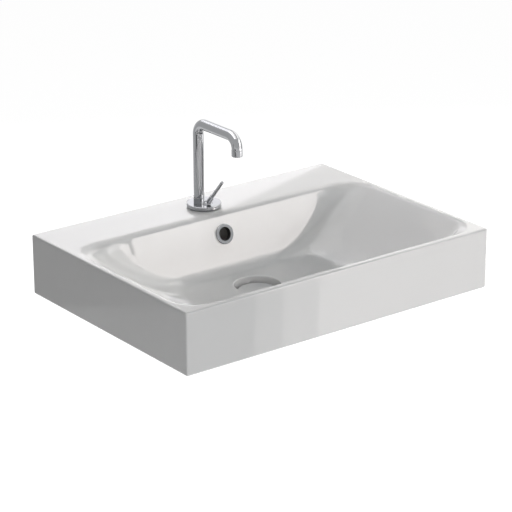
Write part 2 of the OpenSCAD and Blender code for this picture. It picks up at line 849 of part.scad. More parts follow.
// Grub screw with a six-sided socket
module spout_screw() {
    l = 6;
    socket_d = 2;
    socket_w = 1.7;
    color([0.6, 0.61, 0.63])
        translate([0, spout_y + spigot_hole / 2 + loose_gap, plate_low_z + plate_t / 2])
            rotate([-90, 0, 0]) difference() {
                cylinder(d = screw_dia, h = l);
                translate([0, 0, l - socket_d]) cylinder(d = socket_w, h = socket_d + cut, $fn = 6);
            }
}

// Height and depth of the two seals in the spigot, its wall, and its neck inside the tube
seal_h = 1.8;
seal_in = 1.2;
spigot_wall = 3;
spigot_neck_h = 8;

module spout_spigot() {
    r = spigot_dia / 2;
    h = tube_low_z - spigot_low_z;
    color([0.8, 0.68, 0.42]) translate([0, spout_y, spigot_low_z]) rotate_extrude() difference() {
        union() {
            translate([r - spigot_wall, 0]) square([spigot_wall, h]);
            translate([r - spigot_wall, h]) square([tube_bore / 2 - r + spigot_wall, spigot_neck_h]);
        }
        for (k = [1, 2])
            translate([r - seal_in, h * k / 3 - seal_h / 2]) square([seal_in + cut, seal_h]);
    }
}

module spout_seals() {
    r = spigot_dia / 2;
    h = tube_low_z - spigot_low_z;
    color([0.2, 0.2, 0.2]) translate([0, spout_y, spigot_low_z])
        for (k = [1, 2])
            translate([0, 0, h * k / 3 - seal_h / 2]) flat_ring(2 * r, 2 * (r - seal_in), seal_h);
}

// Tube of one diameter along the upright, the arm and the outlet
module tube_path(d) {
    translate([0, spout_y, tube_low_z]) cylinder(d = d, h = arm_z - bend_r - tube_low_z);
    translate([0, spout_y - bend_r, arm_z - bend_r]) rotate([90, 0, 90])
        rotate_extrude(angle = 90) translate([bend_r, 0]) circle(d = d);
    translate([0, outlet_y + bend_r, arm_z]) rotate([-90, 0, 0])
        cylinder(d = d, h = spout_reach - 2 * bend_r);
    translate([0, outlet_y + bend_r, arm_z - bend_r]) rotate([90, 0, 90])
        rotate([0, 0, 90]) rotate_extrude(angle = 90) translate([bend_r, 0]) circle(d = d);
    translate([0, outlet_y, aerator_top_z]) cylinder(d = d, h = arm_z - bend_r - aerator_top_z);
}

module spout_tube() {
    color([0.75, 0.76, 0.78]) difference() {
        tube_path(tube_dia);
        tube_path(tube_bore);
    }
}

// Aerator: a housing with a roof at its top, a seal under the roof and a cup with a mesh
aerator_wall = 1.6;
aerator_roof_t = 1.5;
aerator_play = 0.1;
aerator_seal_h = 1.2;
aerator_cup_up = 0.8;
aerator_cup_r = aerator_dia / 2 - aerator_wall - aerator_play;

module aerator_housing() {
    r = aerator_dia / 2;
    r_in = r - aerator_wall;
    r_roof = tube_bore / 2 - 2;
    color([0.75, 0.76, 0.78]) translate([0, outlet_y, outlet_z]) rotate_extrude() polygon([
        [r_in, 0],
        [r - small_edge, 0],
        [r, small_edge],
        [r, aerator_h - small_edge],
        [r - small_edge, aerator_h],
        [r_roof, aerator_h],
        [r_roof, aerator_h - aerator_roof_t],
        [r_in, aerator_h - aerator_roof_t]
    ]);
}

module aerator_seal() {
    bore = 9;
    color([0.2, 0.2, 0.2]) translate([0, outlet_y, aerator_top_z - aerator_roof_t - aerator_seal_h])
        flat_ring(2 * aerator_cup_r, bore, aerator_seal_h);
}

// Mesh insert: a cup with a grid of square holes
module aerator_insert() {
    r = aerator_cup_r;
    h = aerator_h - aerator_roof_t - aerator_seal_h - aerator_cup_up;
    t = 1;
    pitch = 2.2;
    hole = 1.4;
    color([0.85, 0.85, 0.84]) translate([0, outlet_y, outlet_z + aerator_cup_up]) difference() {
        cylinder(r = r, h = h);
        translate([0, 0, t]) cylinder(r = r - t, h = h);
        for (ix = [-2:2])
            for (iy = [-2:2])
                if (norm([ix, iy]) * pitch + hole < r - t)
                    translate([ix * pitch - hole / 2, iy * pitch - hole / 2, -cut])
                        cube([hole, hole, t + 2 * cut]);
    }
}

// Lever: a ball on a pin, carried by a ring that turns in the plate
ring_lift = 0.2;
ring_sunk = 0.3;
ring_low_z = plate_low_z + ledge_t + ring_lift;
ring_h = plate_top_z - ring_sunk - ring_low_z;

module turn_ring() {
    color([0.68, 0.69, 0.71]) translate([0, tap_y, 0]) difference() {
        translate([0, 0, ring_low_z]) cylinder(d = turn_ring_dia, h = ring_h);
        translate([0, 0, ball_z]) sphere(r = ball_dia / 2 + loose_gap);
        translate([-turn_ring_dia, 0, ball_z]) rotate([0, 90, 0])
            cylinder(r = pivot_dia / 2 + run_gap, h = 2 * turn_ring_dia);
    }
}

// The foot sits in a socket cut into the top of the ball
socket_d = 2.5;
neck_r = lever_foot_dia / 2 - 1;

module lever_ball() {
    r = ball_dia / 2;
    color([0.75, 0.76, 0.78]) translate([0, tap_y, ball_z]) rotate([lever_lean, 0, 0]) difference() {
        rotate_extrude() intersection() {
            difference() {
                union() {
                    circle(r = r, $fn = 96);
                    translate([0, -r - ball_tail_l]) square([ball_tail_r, r + ball_tail_l]);
                }
                translate([0, r - socket_d]) square([neck_r, r]);
            }
            translate([0, -3 * r]) square([2 * r, 6 * r]);
        }
        translate([-ball_dia, 0, 0]) rotate([0, 90, 0]) cylinder(d = pivot_dia, h = 2 * ball_dia);
    }
}

module lever_pivot() {
    inset = 0.2;
    color([0.6, 0.61, 0.63]) translate([inset - turn_ring_dia / 2, tap_y, ball_z]) rotate([0, 90, 0])
        cylinder(d = pivot_dia, h = turn_ring_dia - 2 * inset);
}

// Depth and radius of the pin that holds the rod in the foot, and the chamfer at both ends
pin_l = 6;
pin_r = lever_rod_dia / 2 - 0.8;
lever_edge = 0.8;

module lever_foot() {
    r = lever_foot_dia / 2;
    top_of_ball = ball_dia / 2;
    color([0.75, 0.76, 0.78]) translate([0, tap_y, ball_z]) rotate([lever_lean, 0, 0]) difference() {
        rotate_extrude() polygon([
            [0, top_of_ball - socket_d],
            [neck_r, top_of_ball - socket_d],
            [neck_r, top_of_ball - small_edge],
            [r, top_of_ball - small_edge + r - neck_r],
            [r, lever_foot_l - lever_edge],
            [r - lever_edge, lever_foot_l],
            [0, lever_foot_l]
        ]);
        translate([0, 0, lever_foot_l - pin_l]) cylinder(r = pin_r, h = pin_l + cut);
    }
}

module lever_rod() {
    r = lever_rod_dia / 2;
    color([0.75, 0.76, 0.78]) translate([0, tap_y, ball_z]) rotate([lever_lean, 0, 0])
        rotate_extrude() polygon([
            [0, lever_foot_l - pin_l],
            [pin_r, lever_foot_l - pin_l],
            [pin_r, lever_foot_l],
            [r, lever_foot_l],
            [r, lever_l - lever_edge],
            [r - lever_edge, lever_l],
            [0, lever_l]
        ]);
}

basin_body();
overflow_ring();
waste_body();
waste_top_seal();
waste_lower_seal();
waste_slip_washer();
waste_nut();
latch_housing();
plug_spring();
plug_cap();
plug_seal();
plug_stem();
mixer_plate();
plate_gasket();
shank();
rubber_washer();
steel_washer();
shank_nut();
cartridge();
cartridge_nut();
spout_collar();
spout_screw();
spout_spigot();
spout_seals();
spout_tube();
aerator_housing();
aerator_seal();
aerator_insert();
turn_ring();
lever_ball();
lever_pivot();
lever_foot();
lever_rod();
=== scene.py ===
import json
import math

import bmesh
import bpy
from mathutils import Matrix, Vector

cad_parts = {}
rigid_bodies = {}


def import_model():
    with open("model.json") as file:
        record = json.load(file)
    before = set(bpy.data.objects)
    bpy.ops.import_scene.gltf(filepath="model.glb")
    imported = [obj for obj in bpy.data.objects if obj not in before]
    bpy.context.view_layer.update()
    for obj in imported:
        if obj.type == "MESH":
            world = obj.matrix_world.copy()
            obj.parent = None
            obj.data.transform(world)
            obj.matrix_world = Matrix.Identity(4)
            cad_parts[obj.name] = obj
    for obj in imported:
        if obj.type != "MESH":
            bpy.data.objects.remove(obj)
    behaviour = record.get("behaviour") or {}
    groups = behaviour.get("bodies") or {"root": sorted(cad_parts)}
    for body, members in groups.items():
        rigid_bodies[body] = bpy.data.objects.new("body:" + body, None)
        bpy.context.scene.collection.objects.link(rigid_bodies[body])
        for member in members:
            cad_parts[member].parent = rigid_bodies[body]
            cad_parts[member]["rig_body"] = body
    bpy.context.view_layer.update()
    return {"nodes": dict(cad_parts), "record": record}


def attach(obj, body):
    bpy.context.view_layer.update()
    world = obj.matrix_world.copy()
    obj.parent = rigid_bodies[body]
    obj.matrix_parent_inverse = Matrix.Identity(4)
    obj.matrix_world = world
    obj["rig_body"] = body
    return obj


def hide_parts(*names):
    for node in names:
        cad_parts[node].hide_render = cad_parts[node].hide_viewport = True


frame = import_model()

SCENE = bpy.context.scene
NODES = frame["nodes"]
MM = 0.001

# sizes in mm, with the origin between the wall-fixing holes, on the back face
BASIN_W, BASIN_D, BASIN_H = 600.0, 425.0, 102.0
RIM = 42.0
UNDER = RIM - BASIN_H
EDGE_R = 3.0
DECK_T, APRON_T, FRONT_T, SKIN_T = 14.0, 12.0, 48.0, 9.0
RIB_T, RIB_OUT, RIB_REACH = 10.0, 55.0, 60.0
FIX_APART, FIX_R = 280.0, 7.0
CEILING = RIM - DECK_T
# the floor of the bowl falls towards the drain
FLOOR_T, FLOOR_FALL = 8.5, 1.0
DRAIN_Z = UNDER + FLOOR_T
FLOOR = DRAIN_Z + FLOOR_FALL
DEPTH = RIM - FLOOR
# the mouth of the bowl, inside the rims at the ends and the front, and in front of the tap ledge
SIDE_RIM, LEDGE_D, FRONT_RIM = 5.0, 89.0, 8.0
MOUTH_A, MOUTH_BACK, MOUTH_FRONT = BASIN_W / 2 - SIDE_RIM, -LEDGE_D, FRONT_RIM - BASIN_D
BACK_TILT = 18.0
BACK_LEAN, FRONT_LEAN, END_LEAN = math.radians(BACK_TILT), math.radians(10), math.radians(52)
BACK_ROLL_W, BACK_ROLL_H, FRONT_RIM_R, END_RIM_R = 16.0, 5.0, 7.0, 20.0
WALL_BLEND_R, END_BLEND_R = 22.0, 110.0
SKIN_END, SKIN_FALL = SKIN_T / math.cos(END_LEAN) * 0.94, FLOOR_T * 0.6
CORNER_RIM_R, CORNER_TOP_R, CORNER_MID_R, CORNER_FLOOR_R = 50.0, 92.0, 61.0, 80.0
CORNER_END_R = 44.0
CORNER_TOP_AT, CORNER_DRAW, CORNER_LOW_AT = 0.1, 0.6, 0.6
DRAIN_Y = -204.0
RECESS_R, RECESS_DEPTH, RECESS_LIP = 38.5, 19.0, 2.0
SEAT = DRAIN_Z - RECESS_DEPTH
DRAIN_HOLE_R, COLLAR_R, COLLAR_LIP = 22.5, 47.0, 7.5
PASSAGE_W, PASSAGE_T, PASSAGE_WALL = 40.0, 10.0, 6.0
PASSAGE_TOP = SEAT - COLLAR_LIP
PASSAGE_LOW = PASSAGE_TOP - PASSAGE_T
COLLAR_Z = PASSAGE_LOW - COLLAR_LIP
OVERFLOW_DOWN, OVERFLOW_HOLE_R = 32.5, 13.0
OVERFLOW_Z = RIM - OVERFLOW_DOWN
TAP_Y, TAP_HOLE_R = -65.0, 17.5


# mesh helpers
def new_object(name, verts, faces, angle=35.0):
    """A smooth-shaded object from points in mm, with edges over an angle kept sharp."""
    mesh = bpy.data.meshes.new(name)
    mesh.from_pydata([(x * MM, y * MM, z * MM) for x, y, z in verts], [], faces)
    mesh.update()
    obj = bpy.data.objects.new(name, mesh)
    SCENE.collection.objects.link(obj)
    if angle is not None:
        smooth(obj, angle)
    return obj


def smooth(obj, angle):
    """Smooth shading, with edges over an angle in degrees kept sharp."""
    mesh = obj.data
    mesh.polygons.foreach_set("use_smooth", [True] * len(mesh.polygons))
    mesh.set_sharp_from_angle(angle=math.radians(angle))


def weighted(obj):
    """Lets the large faces lead the shading of the rounded edges beside them."""
    mod = obj.modifiers.new("weighted", "WEIGHTED_NORMAL")
    mod.keep_sharp = True
    mod.weight = 100
    return obj


def loft(rings):
    """Points and faces of a closed solid through rings of equal length, top one first."""
    n, m = len(rings[0]), len(rings)
    verts = [p for ring in rings for p in ring]
    faces = [tuple(reversed(range(n)))]
    for k in range(m - 1):
        for i in range(n):
            j = (i + 1) % n
            faces.append((k * n + i, k * n + j, (k + 1) * n + j, (k + 1) * n + i))
    faces.append(tuple((m - 1) * n + i for i in range(n)))
    return verts, faces


def clean(obj, distance=1e-6):
    """Merges double points and drops faces and edges without size."""
    bm = bmesh.new()
    bm.from_mesh(obj.data)
    bmesh.ops.remove_doubles(bm, verts=bm.verts, dist=distance)
    bmesh.ops.dissolve_degenerate(bm, edges=bm.edges, dist=distance)
    bmesh.ops.recalc_face_normals(bm, faces=bm.faces)
    bm.to_mesh(obj.data)
    bm.free()
    return obj


def shaded(obj, angle, distance=1e-6):
    """Cleans a new shape and gives it its shading."""
    clean(obj, distance)
    smooth(obj, angle)
    return weighted(obj)


def boolean(obj, cutter, operation):
    """Joins, cuts or crosses a shape with another, which is used up."""
    mod = obj.modifiers.new("cut", "BOOLEAN")
    mod.operation = operation
    mod.solver = "EXACT"
    mod.object = cutter
    bpy.context.view_layer.update()
    graph = bpy.context.evaluated_depsgraph_get()
    made = bpy.data.meshes.new_from_object(obj.evaluated_get(graph))
    obj.modifiers.clear()
    old = obj.data
    obj.data = made
    bpy.data.meshes.remove(old)
    bpy.data.objects.remove(cutter)
    return obj


def block(low, high, radius=0.0, steps=4, only=None):
    """A box between two corners, with its chosen edges rounded."""
    obj = new_object("block", [], [])
    bm = bmesh.new()
    bmesh.ops.create_cube(bm, size=1.0)
    for v in bm.verts:
        for k in range(3):
            v.co[k] = (low[k] if v.co[k] < 0 else high[k]) * MM
    if radius:
        edges = [e for e in bm.edges if only is None or only(*[v.co / MM for v in e.verts])]
        bmesh.ops.bevel(
            bm, geom=edges, offset=radius * MM, segments=steps, profile=0.5, affect="EDGES",
        )
    bmesh.ops.recalc_face_normals(bm, faces=bm.faces)
    bm.to_mesh(obj.data)
    bm.free()
    return obj


def along_x(p, q):
    """Picks the edges that run along X."""
    return abs(p.x - q.x) > 2


def arc(cx, cy, r, a0, a1, n):
    """Points on an arc about a centre, between two angles in degrees."""
    return [
        (cx + r * math.cos(math.radians(a0 + (a1 - a0) * i / n)),
         cy + r * math.sin(math.radians(a0 + (a1 - a0) * i / n)))
        for i in range(n + 1)
    ]


def rounded(profile, steps=5):
    """A closed outline of (r, z, fillet) corners with each fillet drawn as an arc."""
    out = []
    n = len(profile)
    for i, (r, z, f) in enumerate(profile):
        if f <= 0:
            out.append((r, z))
            continue
        p = Vector((r, z))
        a = Vector(profile[i - 1][:2]) - p
        b = Vector(profile[(i + 1) % n][:2]) - p
        half = a.angle(b) / 2
        cut = min(f / math.tan(half), a.length * 0.49, b.length * 0.49)
        rad = cut * math.tan(half)
        a.normalize()
        b.normalize()
        mid = p + (a + b).normalized() * (rad / math.sin(half))
        start, end = p + a * cut - mid, p + b * cut - mid
        turn = math.atan2(start.x * end.y - start.y * end.x, start.dot(end))
        for k in range(steps + 1):
            c, s = math.cos(turn * k / steps), math.sin(turn * k / steps)
            out.append((mid.x + start.x * c - start.y * s, mid.y + start.x * s + start.y * c))
    return out


def grid_faces(rows):
    """Faces between rows of point numbers, the last row joined to the first."""
    faces = []
    for k in range(len(rows)):
        a, b = rows[k], rows[(k + 1) % len(rows)]
        if a[0] == a[1] and b[0] == b[1]:
            continue
        for i in range(len(a)):
            j = (i + 1) % len(a)
            quad = [a[i], a[j], b[j], b[i]]
            face = [v for q, v in enumerate(quad) if v not in quad[:q]]
            if len(face) > 2:
                faces.append(tuple(face))
    return faces


def lathe(name, profile, place, n=96, steps=5, wave=None, angle=35.0):
    """A closed outline turned about the Z axis of place. wave(r, z, turn) moves the radius."""
    verts, rows = [], []
    for r, z in rounded(profile, steps):
        if r < 1e-6:
            rows.append([len(verts)] * n)
            verts.append((0.0, 0.0, z))
            continue
        rows.append(range(len(verts), len(verts) + n))
        for i in range(n):
            t = 2 * math.pi * i / n
            q = r + (wave(r, z, i / n) if wave else 0.0)
            verts.append((q * math.cos(t), q * math.sin(t), z))
    verts = [tuple(place @ Vector(v)) for v in verts]
    return shaded(new_object(name, verts, grid_faces(rows), None), angle, 1e-7)


def at(x, y, z, tilt=0.0):
    """A place in mm, turned about X by tilt degrees."""
    return Matrix.Translation((x, y, z)) @ Matrix.Rotation(math.radians(tilt), 4, "X")


def turn_about(obj, y, angle):
    """Turns a shape about the Z axis, then moves it to a distance in front of the wall."""
    turn = Matrix.Rotation(math.radians(angle), 4, "Z")
    obj.data.transform(Matrix.Translation((0, y * MM, 0)) @ turn)


def thread_side(r, low, high, pitch):
    """Points up the side of a threaded part, close enough together to draw the thread."""
    count = int((high - low) / pitch * 8)
    return [(r, low + (high - low) * i / count, 0) for i in range(count + 1)]


def thread_wave(crest, low, high, pitch, depth):
    """A screw thread cut into a crest radius between two heights, fading out at both ends."""
    def wave(r, z, turn):
        if abs(r - crest) > 0.01 or z < low - 0.01 or z > high + 0.01:
            return 0.0
        tooth = abs(((z / pitch + turn) % 1.0) * 2 - 1)
        fade = min(1.0, (z - low) / pitch, (high - z) / pitch)
        return -depth * min(1.0, max(0.0, tooth * 1.25 - 0.125)) * max(0.0, fade)
    return wave


def hex_nut(name, flats, height, hole, place):
    """A chamfered nut with a chamfered hole."""
    corner = flats / 2 / math.cos(math.pi / 6)
    obj = lathe(name, [(0, 0, 0), (corner, 0, 0), (corner, height, 0), (0, height, 0)], place, 6, angle=20)
    obj.modifiers.clear()
    cone = [
        (0, 0, 0), (flats / 2, 0, 0), (corner + 0.1, height * 0.16, 0),
        (corner + 0.1, height * 0.84, 0), (flats / 2, height, 0), (0, height, 0),
    ]
    boolean(obj, lathe("cone", cone, place), "INTERSECT")
    bore = [
        (0, -1, 0), (hole / 2 + 2, -1, 0), (hole / 2, 1, 0),
        (hole / 2, height - 1, 0), (hole / 2 + 2, height + 1, 0), (0, height + 1, 0),
    ]
    boolean(obj, lathe("bore", bore, place), "DIFFERENCE")
    return shaded(obj, 20)


def washer(name, r_in, r_out, low, height, y, edge):
    """A flat ring with rounded edges."""
    outline = [(r_in, 0, 0.2), (r_out, 0, edge), (r_out, height, edge), (r_in, height, 0.2)]
    return lathe(name, outline, at(0, y, low))


# shape of the bowl, where d is a depth below the rim
def ease(t):
    """A step from 0 to 1 with soft ends."""
    u = min(1.0, max(0.0, t))
    return u * u * (3 - 2 * u)


def wall_in(d, lean, roll_w, roll_h, low_r):
    """How far a leaning wall has come in at a depth: it rolls in, runs straight, blends."""
    t = math.atan(math.tan(lean) * roll_h / roll_w)
    d1 = roll_h * (1 - math.sin(t))
    d2 = DEPTH - low_r * (1 - math.sin(lean))
    in1 = roll_w * math.cos(t)
    in2 = in1 + (d2 - d1) * math.tan(lean)
    if d <= 0:
        return 0.0
    if d < d1:
        return roll_w / roll_h * math.sqrt(max(0.0, roll_h ** 2 - (roll_h - d) ** 2))
    if d < d2:
        return in1 + (d - d1) * math.tan(lean)
    return in2 + low_r * math.cos(lean) - math.sqrt(max(0.0, low_r ** 2 - (d - DEPTH + low_r) ** 2))


def back_in(d):
    """How far the back wall has come in at a depth."""
    return wall_in(d, BACK_LEAN, BACK_ROLL_W, BACK_ROLL_H, WALL_BLEND_R)


def front_in(d):
    """How far the front wall has come in at a depth."""
    return wall_in(d, FRONT_LEAN, FRONT_RIM_R, FRONT_RIM_R, WALL_BLEND_R)


def end_in(d):
    """How far the sloping ends have come in at a depth."""
    return wall_in(d, END_LEAN, END_RIM_R, END_RIM_R, END_BLEND_R)


def corner_r(d):
    """Reach of the corners at a depth, along the long walls and along the ends."""
    t = d / DEPTH
    opened = ease(t / CORNER_TOP_AT)
    drawn = 1 - (1 - min(1.0, max(0.0, (t - CORNER_TOP_AT) / CORNER_DRAW))) ** 3
    low = ease((t - CORNER_LOW_AT) / (1 - CORNER_LOW_AT))
    along = (
        CORNER_RIM_R
        + (CORNER_TOP_R - CORNER_RIM_R) * opened
        + (CORNER_MID_R - CORNER_TOP_R) * drawn
        + (CORNER_FLOOR_R - CORNER_MID_R) * low
    )
    across = (
        CORNER_RIM_R
        + (CORNER_END_R - CORNER_RIM_R) * opened
        + (CORNER_FLOOR_R - CORNER_END_R) * low
    )
    return along, across


def contour(a, back, front, r, z, n=24):
    """A rectangle with round corners, counter-clockwise."""
    along, across = r
    pts = []
    for k in range(4):
        cx = (a - along) * (1 if k in (0, 3) else -1)
        cy = back - across if k < 2 else front + across
        for i in range(n):
            t = math.radians(90 * k + 90 * i / (n - 1))
            pts.append((cx + along * math.cos(t), cy + across * math.sin(t), z))
    return pts


def bowl_contour(d, z, wall=0.0, end=0.0, n=24):
    """The bowl's outline at a depth, drawn at a height and grown past its walls and its ends."""
    along, across = corner_r(d)
    return contour(
        MOUTH_A - end_in(d) + end,
        MOUTH_BACK - back_in(d) + wall,
        MOUTH_FRONT + front_in(d) - wall,
        (along + wall, across + wall),
        z,
        n,
    )


def bowl_depths():
    """Depths of the rings: down each rolled edge, to where its wall runs straight, and down the blend."""
    depths = {0.0}
    for r, last in ((BACK_ROLL_H, 84.2), (FRONT_RIM_R, 80.0), (END_RIM_R, 38.0)):
        depths |= {round(r * (1 - math.cos(math.radians(last * i / 12))), 4) for i in range(1, 13)}
    blend = END_BLEND_R * (1 - math.sin(END_LEAN))
    top = max(depths)
    depths |= {round(top + (DEPTH - blend - top) * i / 12, 4) for i in range(1, 13)}
    depths |= {round(DEPTH - blend * (1 - math.sin(math.radians(90 * i / 18))), 4) for i in range(1, 19)}
    kept = [0.0]
    for d in sorted(depths):
        if d - kept[-1] > 0.02:
            kept.append(d)
    return kept


def bowl_solid():
    """The space of the bowl, the recess and the hole through the ceramic, as one solid."""
    rings = [bowl_contour(0, RIM + 1)] + [bowl_contour(d, RIM - d) for d in bowl_depths()]
    # the floor, drawn in to a circle round the recess
    flat_r = RECESS_R + RECESS_LIP + 0.5
    a, b, f = MOUTH_A - end_in(DEPTH), MOUTH_BACK - back_in(DEPTH), MOUTH_FRONT + front_in(DEPTH)
    for i in range(1, 13):
        t = i / 12
        rings.append(contour(
            a + (flat_r - a) * t,
            b + (DRAIN_Y + flat_r - b) * t,
            f + (DRAIN_Y - flat_r - f) * t,
            [CORNER_FLOOR_R + (flat_r - CORNER_FLOOR_R) * t] * 2,
            FLOOR + (DRAIN_Z - FLOOR) * t,
        ))

    def circle(r, z):
        return contour(r, DRAIN_Y + r, DRAIN_Y - r, (r, r), z)

    for r, z in arc(RECESS_R + RECESS_LIP, DRAIN_Z - RECESS_LIP, RECESS_LIP, 90, 180, 8):
        rings.append(circle(r, z))
    for r, z in arc(RECESS_R - 3, SEAT + 3, 3, 0, -90, 5):
        rings.append(circle(r, z))
    rings.append(circle(DRAIN_HOLE_R, SEAT))
    rings.append(circle(DRAIN_HOLE_R, COLLAR_Z - 1))
    return clean(new_object("bowl_space", *loft(rings)), 1e-7)


def skin_solid():
    """The bowl with the ceramic round it, as one solid down to below the underside."""
    rings = [bowl_contour(0, RIM + 1, SKIN_T, SKIN_END, 12)]
    for i in range(17):
        d = DEPTH * math.sin(math.radians(90 * i / 16))
        rings.append(bowl_contour(d, RIM - d - SKIN_FALL * ease(d / DEPTH), SKIN_T, SKIN_END, 12))
    rings.append(bowl_contour(DEPTH, UNDER - 1, SKIN_T, SKIN_END, 12))
    return clean(new_object("skin", *loft(rings)), 1e-7)


def round_hole(r, low, high, place, n=96):
    """A plain cylinder to cut with."""
    return lathe("hole", [(0, low, 0), (r, low, 0), (r, high, 0), (0, high, 0)], place, n)


OVERFLOW_Y = MOUTH_BACK - back_in(OVERFLOW_DOWN)
OVERFLOW_AT = at(0, OVERFLOW_Y, OVERFLOW_Z, 90 - BACK_TILT)
PASSAGE_FRONT = OVERFLOW_Y + 0.85 * SKIN_T
PASSAGE_BACK = PASSAGE_FRONT + PASSAGE_T


def passage(inset, low, top_behind, top_below, radius):
    """The ceramic round the overflow passage, behind the bowl and below its floor."""
    # the level part runs into the upright one, with its sides a hair further in
    foot = OVERFLOW_Y - 2 * SKIN_T
    wide = PASSAGE_W / 2 + PASSAGE_WALL - inset
    back = PASSAGE_BACK + PASSAGE_WALL - inset
    obj = block((-wide, foot, low), (wide, back, top_behind), radius)
    below = block((-wide + 0.05, DRAIN_Y, low + 0.05), (wide - 0.05, foot + 9, top_below - 0.05), radius)
    boolean(obj, below, "UNION")
    r = COLLAR_R - inset
    outline = [(0, low - 0.1, 0), (r, low - 0.1, 2.5), (r, top_below + 0.1, 0), (0, top_below + 0.1, 0)]
    boolean(obj, lathe("collar", outline, at(0, DRAIN_Y, 0)), "UNION")
    return obj


def finished(obj, index, *finishes):
    """Gives a shape its finishes, and all of its faces the one with that number."""
    for finish in finishes:
        obj.data.materials.append(finish)
    obj.data.polygons.foreach_set("material_index", [index] * len(obj.data.polygons))


def basin():
    """The ceramic, rounded where the glaze rounds it."""
    w = BASIN_W / 2
    # the edges of the flat back stay sharp
    obj = block((-w, -BASIN_D, UNDER), (w, 0, RIM), EDGE_R, 6, lambda p, q: p.y <= -1 or q.y <= -1)
    finished(obj, 0, GLAZE, BISQUE, CLAY_PAINTED_SHADE)
    # hollow under the ledge and the ends, round the bowl, the ribs and the overflow passage
    a = w - APRON_T
    hollow = block((-a, -BASIN_D + FRONT_T, UNDER - 30), (a, -APRON_T, CEILING), 6)
    boolean(hollow, skin_solid(), "DIFFERENCE")
    for sx in (-1, 1):
        x = sx * (FIX_APART / 2 + RIB_OUT)
        rib = block((x - RIB_T / 2, MOUTH_BACK - RIB_REACH, UNDER - 40), (x + RIB_T / 2, 5, RIM))
        boolean(hollow, rib, "DIFFERENCE")
    boolean(hollow, passage(0.0, UNDER - 40, CEILING + 1, UNDER + 6, 0), "DIFFERENCE")
    finished(hollow, 1, GLAZE, BISQUE)
    boolean(obj, hollow, "DIFFERENCE")
    # what hangs below the underside is drawn in by a hair, as at a mould line
    boolean(obj, passage(0.3, COLLAR_Z, UNDER + 3, UNDER + 3, 3), "UNION")
    boolean(obj, bowl_solid(), "DIFFERENCE")
    half = PASSAGE_W / 2
    space = block((-half, PASSAGE_FRONT, PASSAGE_LOW), (half, PASSAGE_BACK, OVERFLOW_Z + 6))
    # the level run is a hair off the upright one, so that no two faces lie in one plane
    lower = block(
        (-half + 0.08, DRAIN_Y, PASSAGE_LOW + 0.12), (half - 0.08, PASSAGE_BACK - 0.1, PASSAGE_TOP + 0.07)
    )
    boolean(space, lower, "UNION")
    # the faces inside the passage take the dark clay: unglazed clay whose darkness is painted shade for the
    # dim inside of the passage behind the overflow ring
    finished(space, 2, GLAZE, BISQUE, CLAY_PAINTED_SHADE)
    boolean(obj, space, "DIFFERENCE")
    boolean(obj, round_hole(OVERFLOW_HOLE_R, -1.4 * PASSAGE_T, PASSAGE_T, OVERFLOW_AT), "DIFFERENCE")
    boolean(obj, round_hole(TAP_HOLE_R, CEILING - 1, RIM + 1, at(0, TAP_Y, 0)), "DIFFERENCE")
    for sx in (-1, 1):
        boolean(obj, round_hole(FIX_R, -20, 20, at(sx * FIX_APART / 2, 0, 0, 90), 48), "DIFFERENCE")
    obj.name = "basin_glazed"
    obj.data.name = "basin_glazed"
    for face in obj.data.polygons:
        if face.center.y > -0.0005 or face.center.z < (UNDER + 0.5) * MM and face.normal.z < -0.9:
            face.material_index = 1
    return shaded(obj, 30)


# materials
def material(name):
    """A new node material, with its nodes, its links and its main shader."""
    mat = bpy.data.materials.new(name)
    mat.use_nodes = True
    return mat, mat.node_tree.nodes, mat.node_tree.links, mat.node_tree.nodes["Principled BSDF"]


def noise(nodes, links, scale, detail=3.0):
    """A noise fixed to the object."""
    coord = nodes.new("ShaderNodeTexCoord")
    tex = nodes.new("ShaderNodeTexNoise")
    tex.inputs["Scale"].default_value = scale
    tex.inputs["Detail"].default_value = detail
    tex.inputs["Roughness"].default_value = 0.5
    links.new(coord.outputs["Object"], tex.inputs["Vector"])
    return tex


def spread(nodes, links, source, low, high):
    """A noise value turned into a range of roughness."""
    ramp = nodes.new("ShaderNodeMapRange")
    ramp.inputs["To Min"].default_value = low
    ramp.inputs["To Max"].default_value = high
    ramp.inputs["From Min"].default_value = 0.3
    ramp.inputs["From Max"].default_value = 0.7
    links.new(source, ramp.inputs["Value"])
    return ramp.outputs["Result"]


def bump(nodes, links, source, distance, shader):
    """A fine relief, its height in metres."""
    node = nodes.new("ShaderNodeBump")
    node.inputs["Distance"].default_value = distance
    node.inputs["Strength"].default_value = 1.0
    links.new(source, node.inputs["Height"])
    links.new(node.outputs["Normal"], shader.inputs["Normal"])


def surface(name, low, high, metal, rough, scale, depth, depth_scale, ior=1.5):
    """A finished surface: two close colours and a roughness that vary, and a fine relief."""
    mat, nodes, links, shader = material(name)
    tex = noise(nodes, links, scale)
    mix = nodes.new("ShaderNodeMix")
    mix.data_type = "RGBA"
    mix.inputs["A"].default_value = (*low, 1)
    mix.inputs["B"].default_value = (*high, 1)
    links.new(tex.outputs["Fac"], mix.inputs["Factor"])
    links.new(mix.outputs["Result"], shader.inputs["Base Color"])
    shader.inputs["Metallic"].default_value = metal
    shader.inputs["IOR"].default_value = ior
    links.new(spread(nodes, links, tex.outputs["Fac"], *rough), shader.inputs["Roughness"])
    fine = noise(nodes, links, depth_scale, 2.0)
    bump(nodes, links, fine.outputs["Fac"], depth, shader)
    return mat


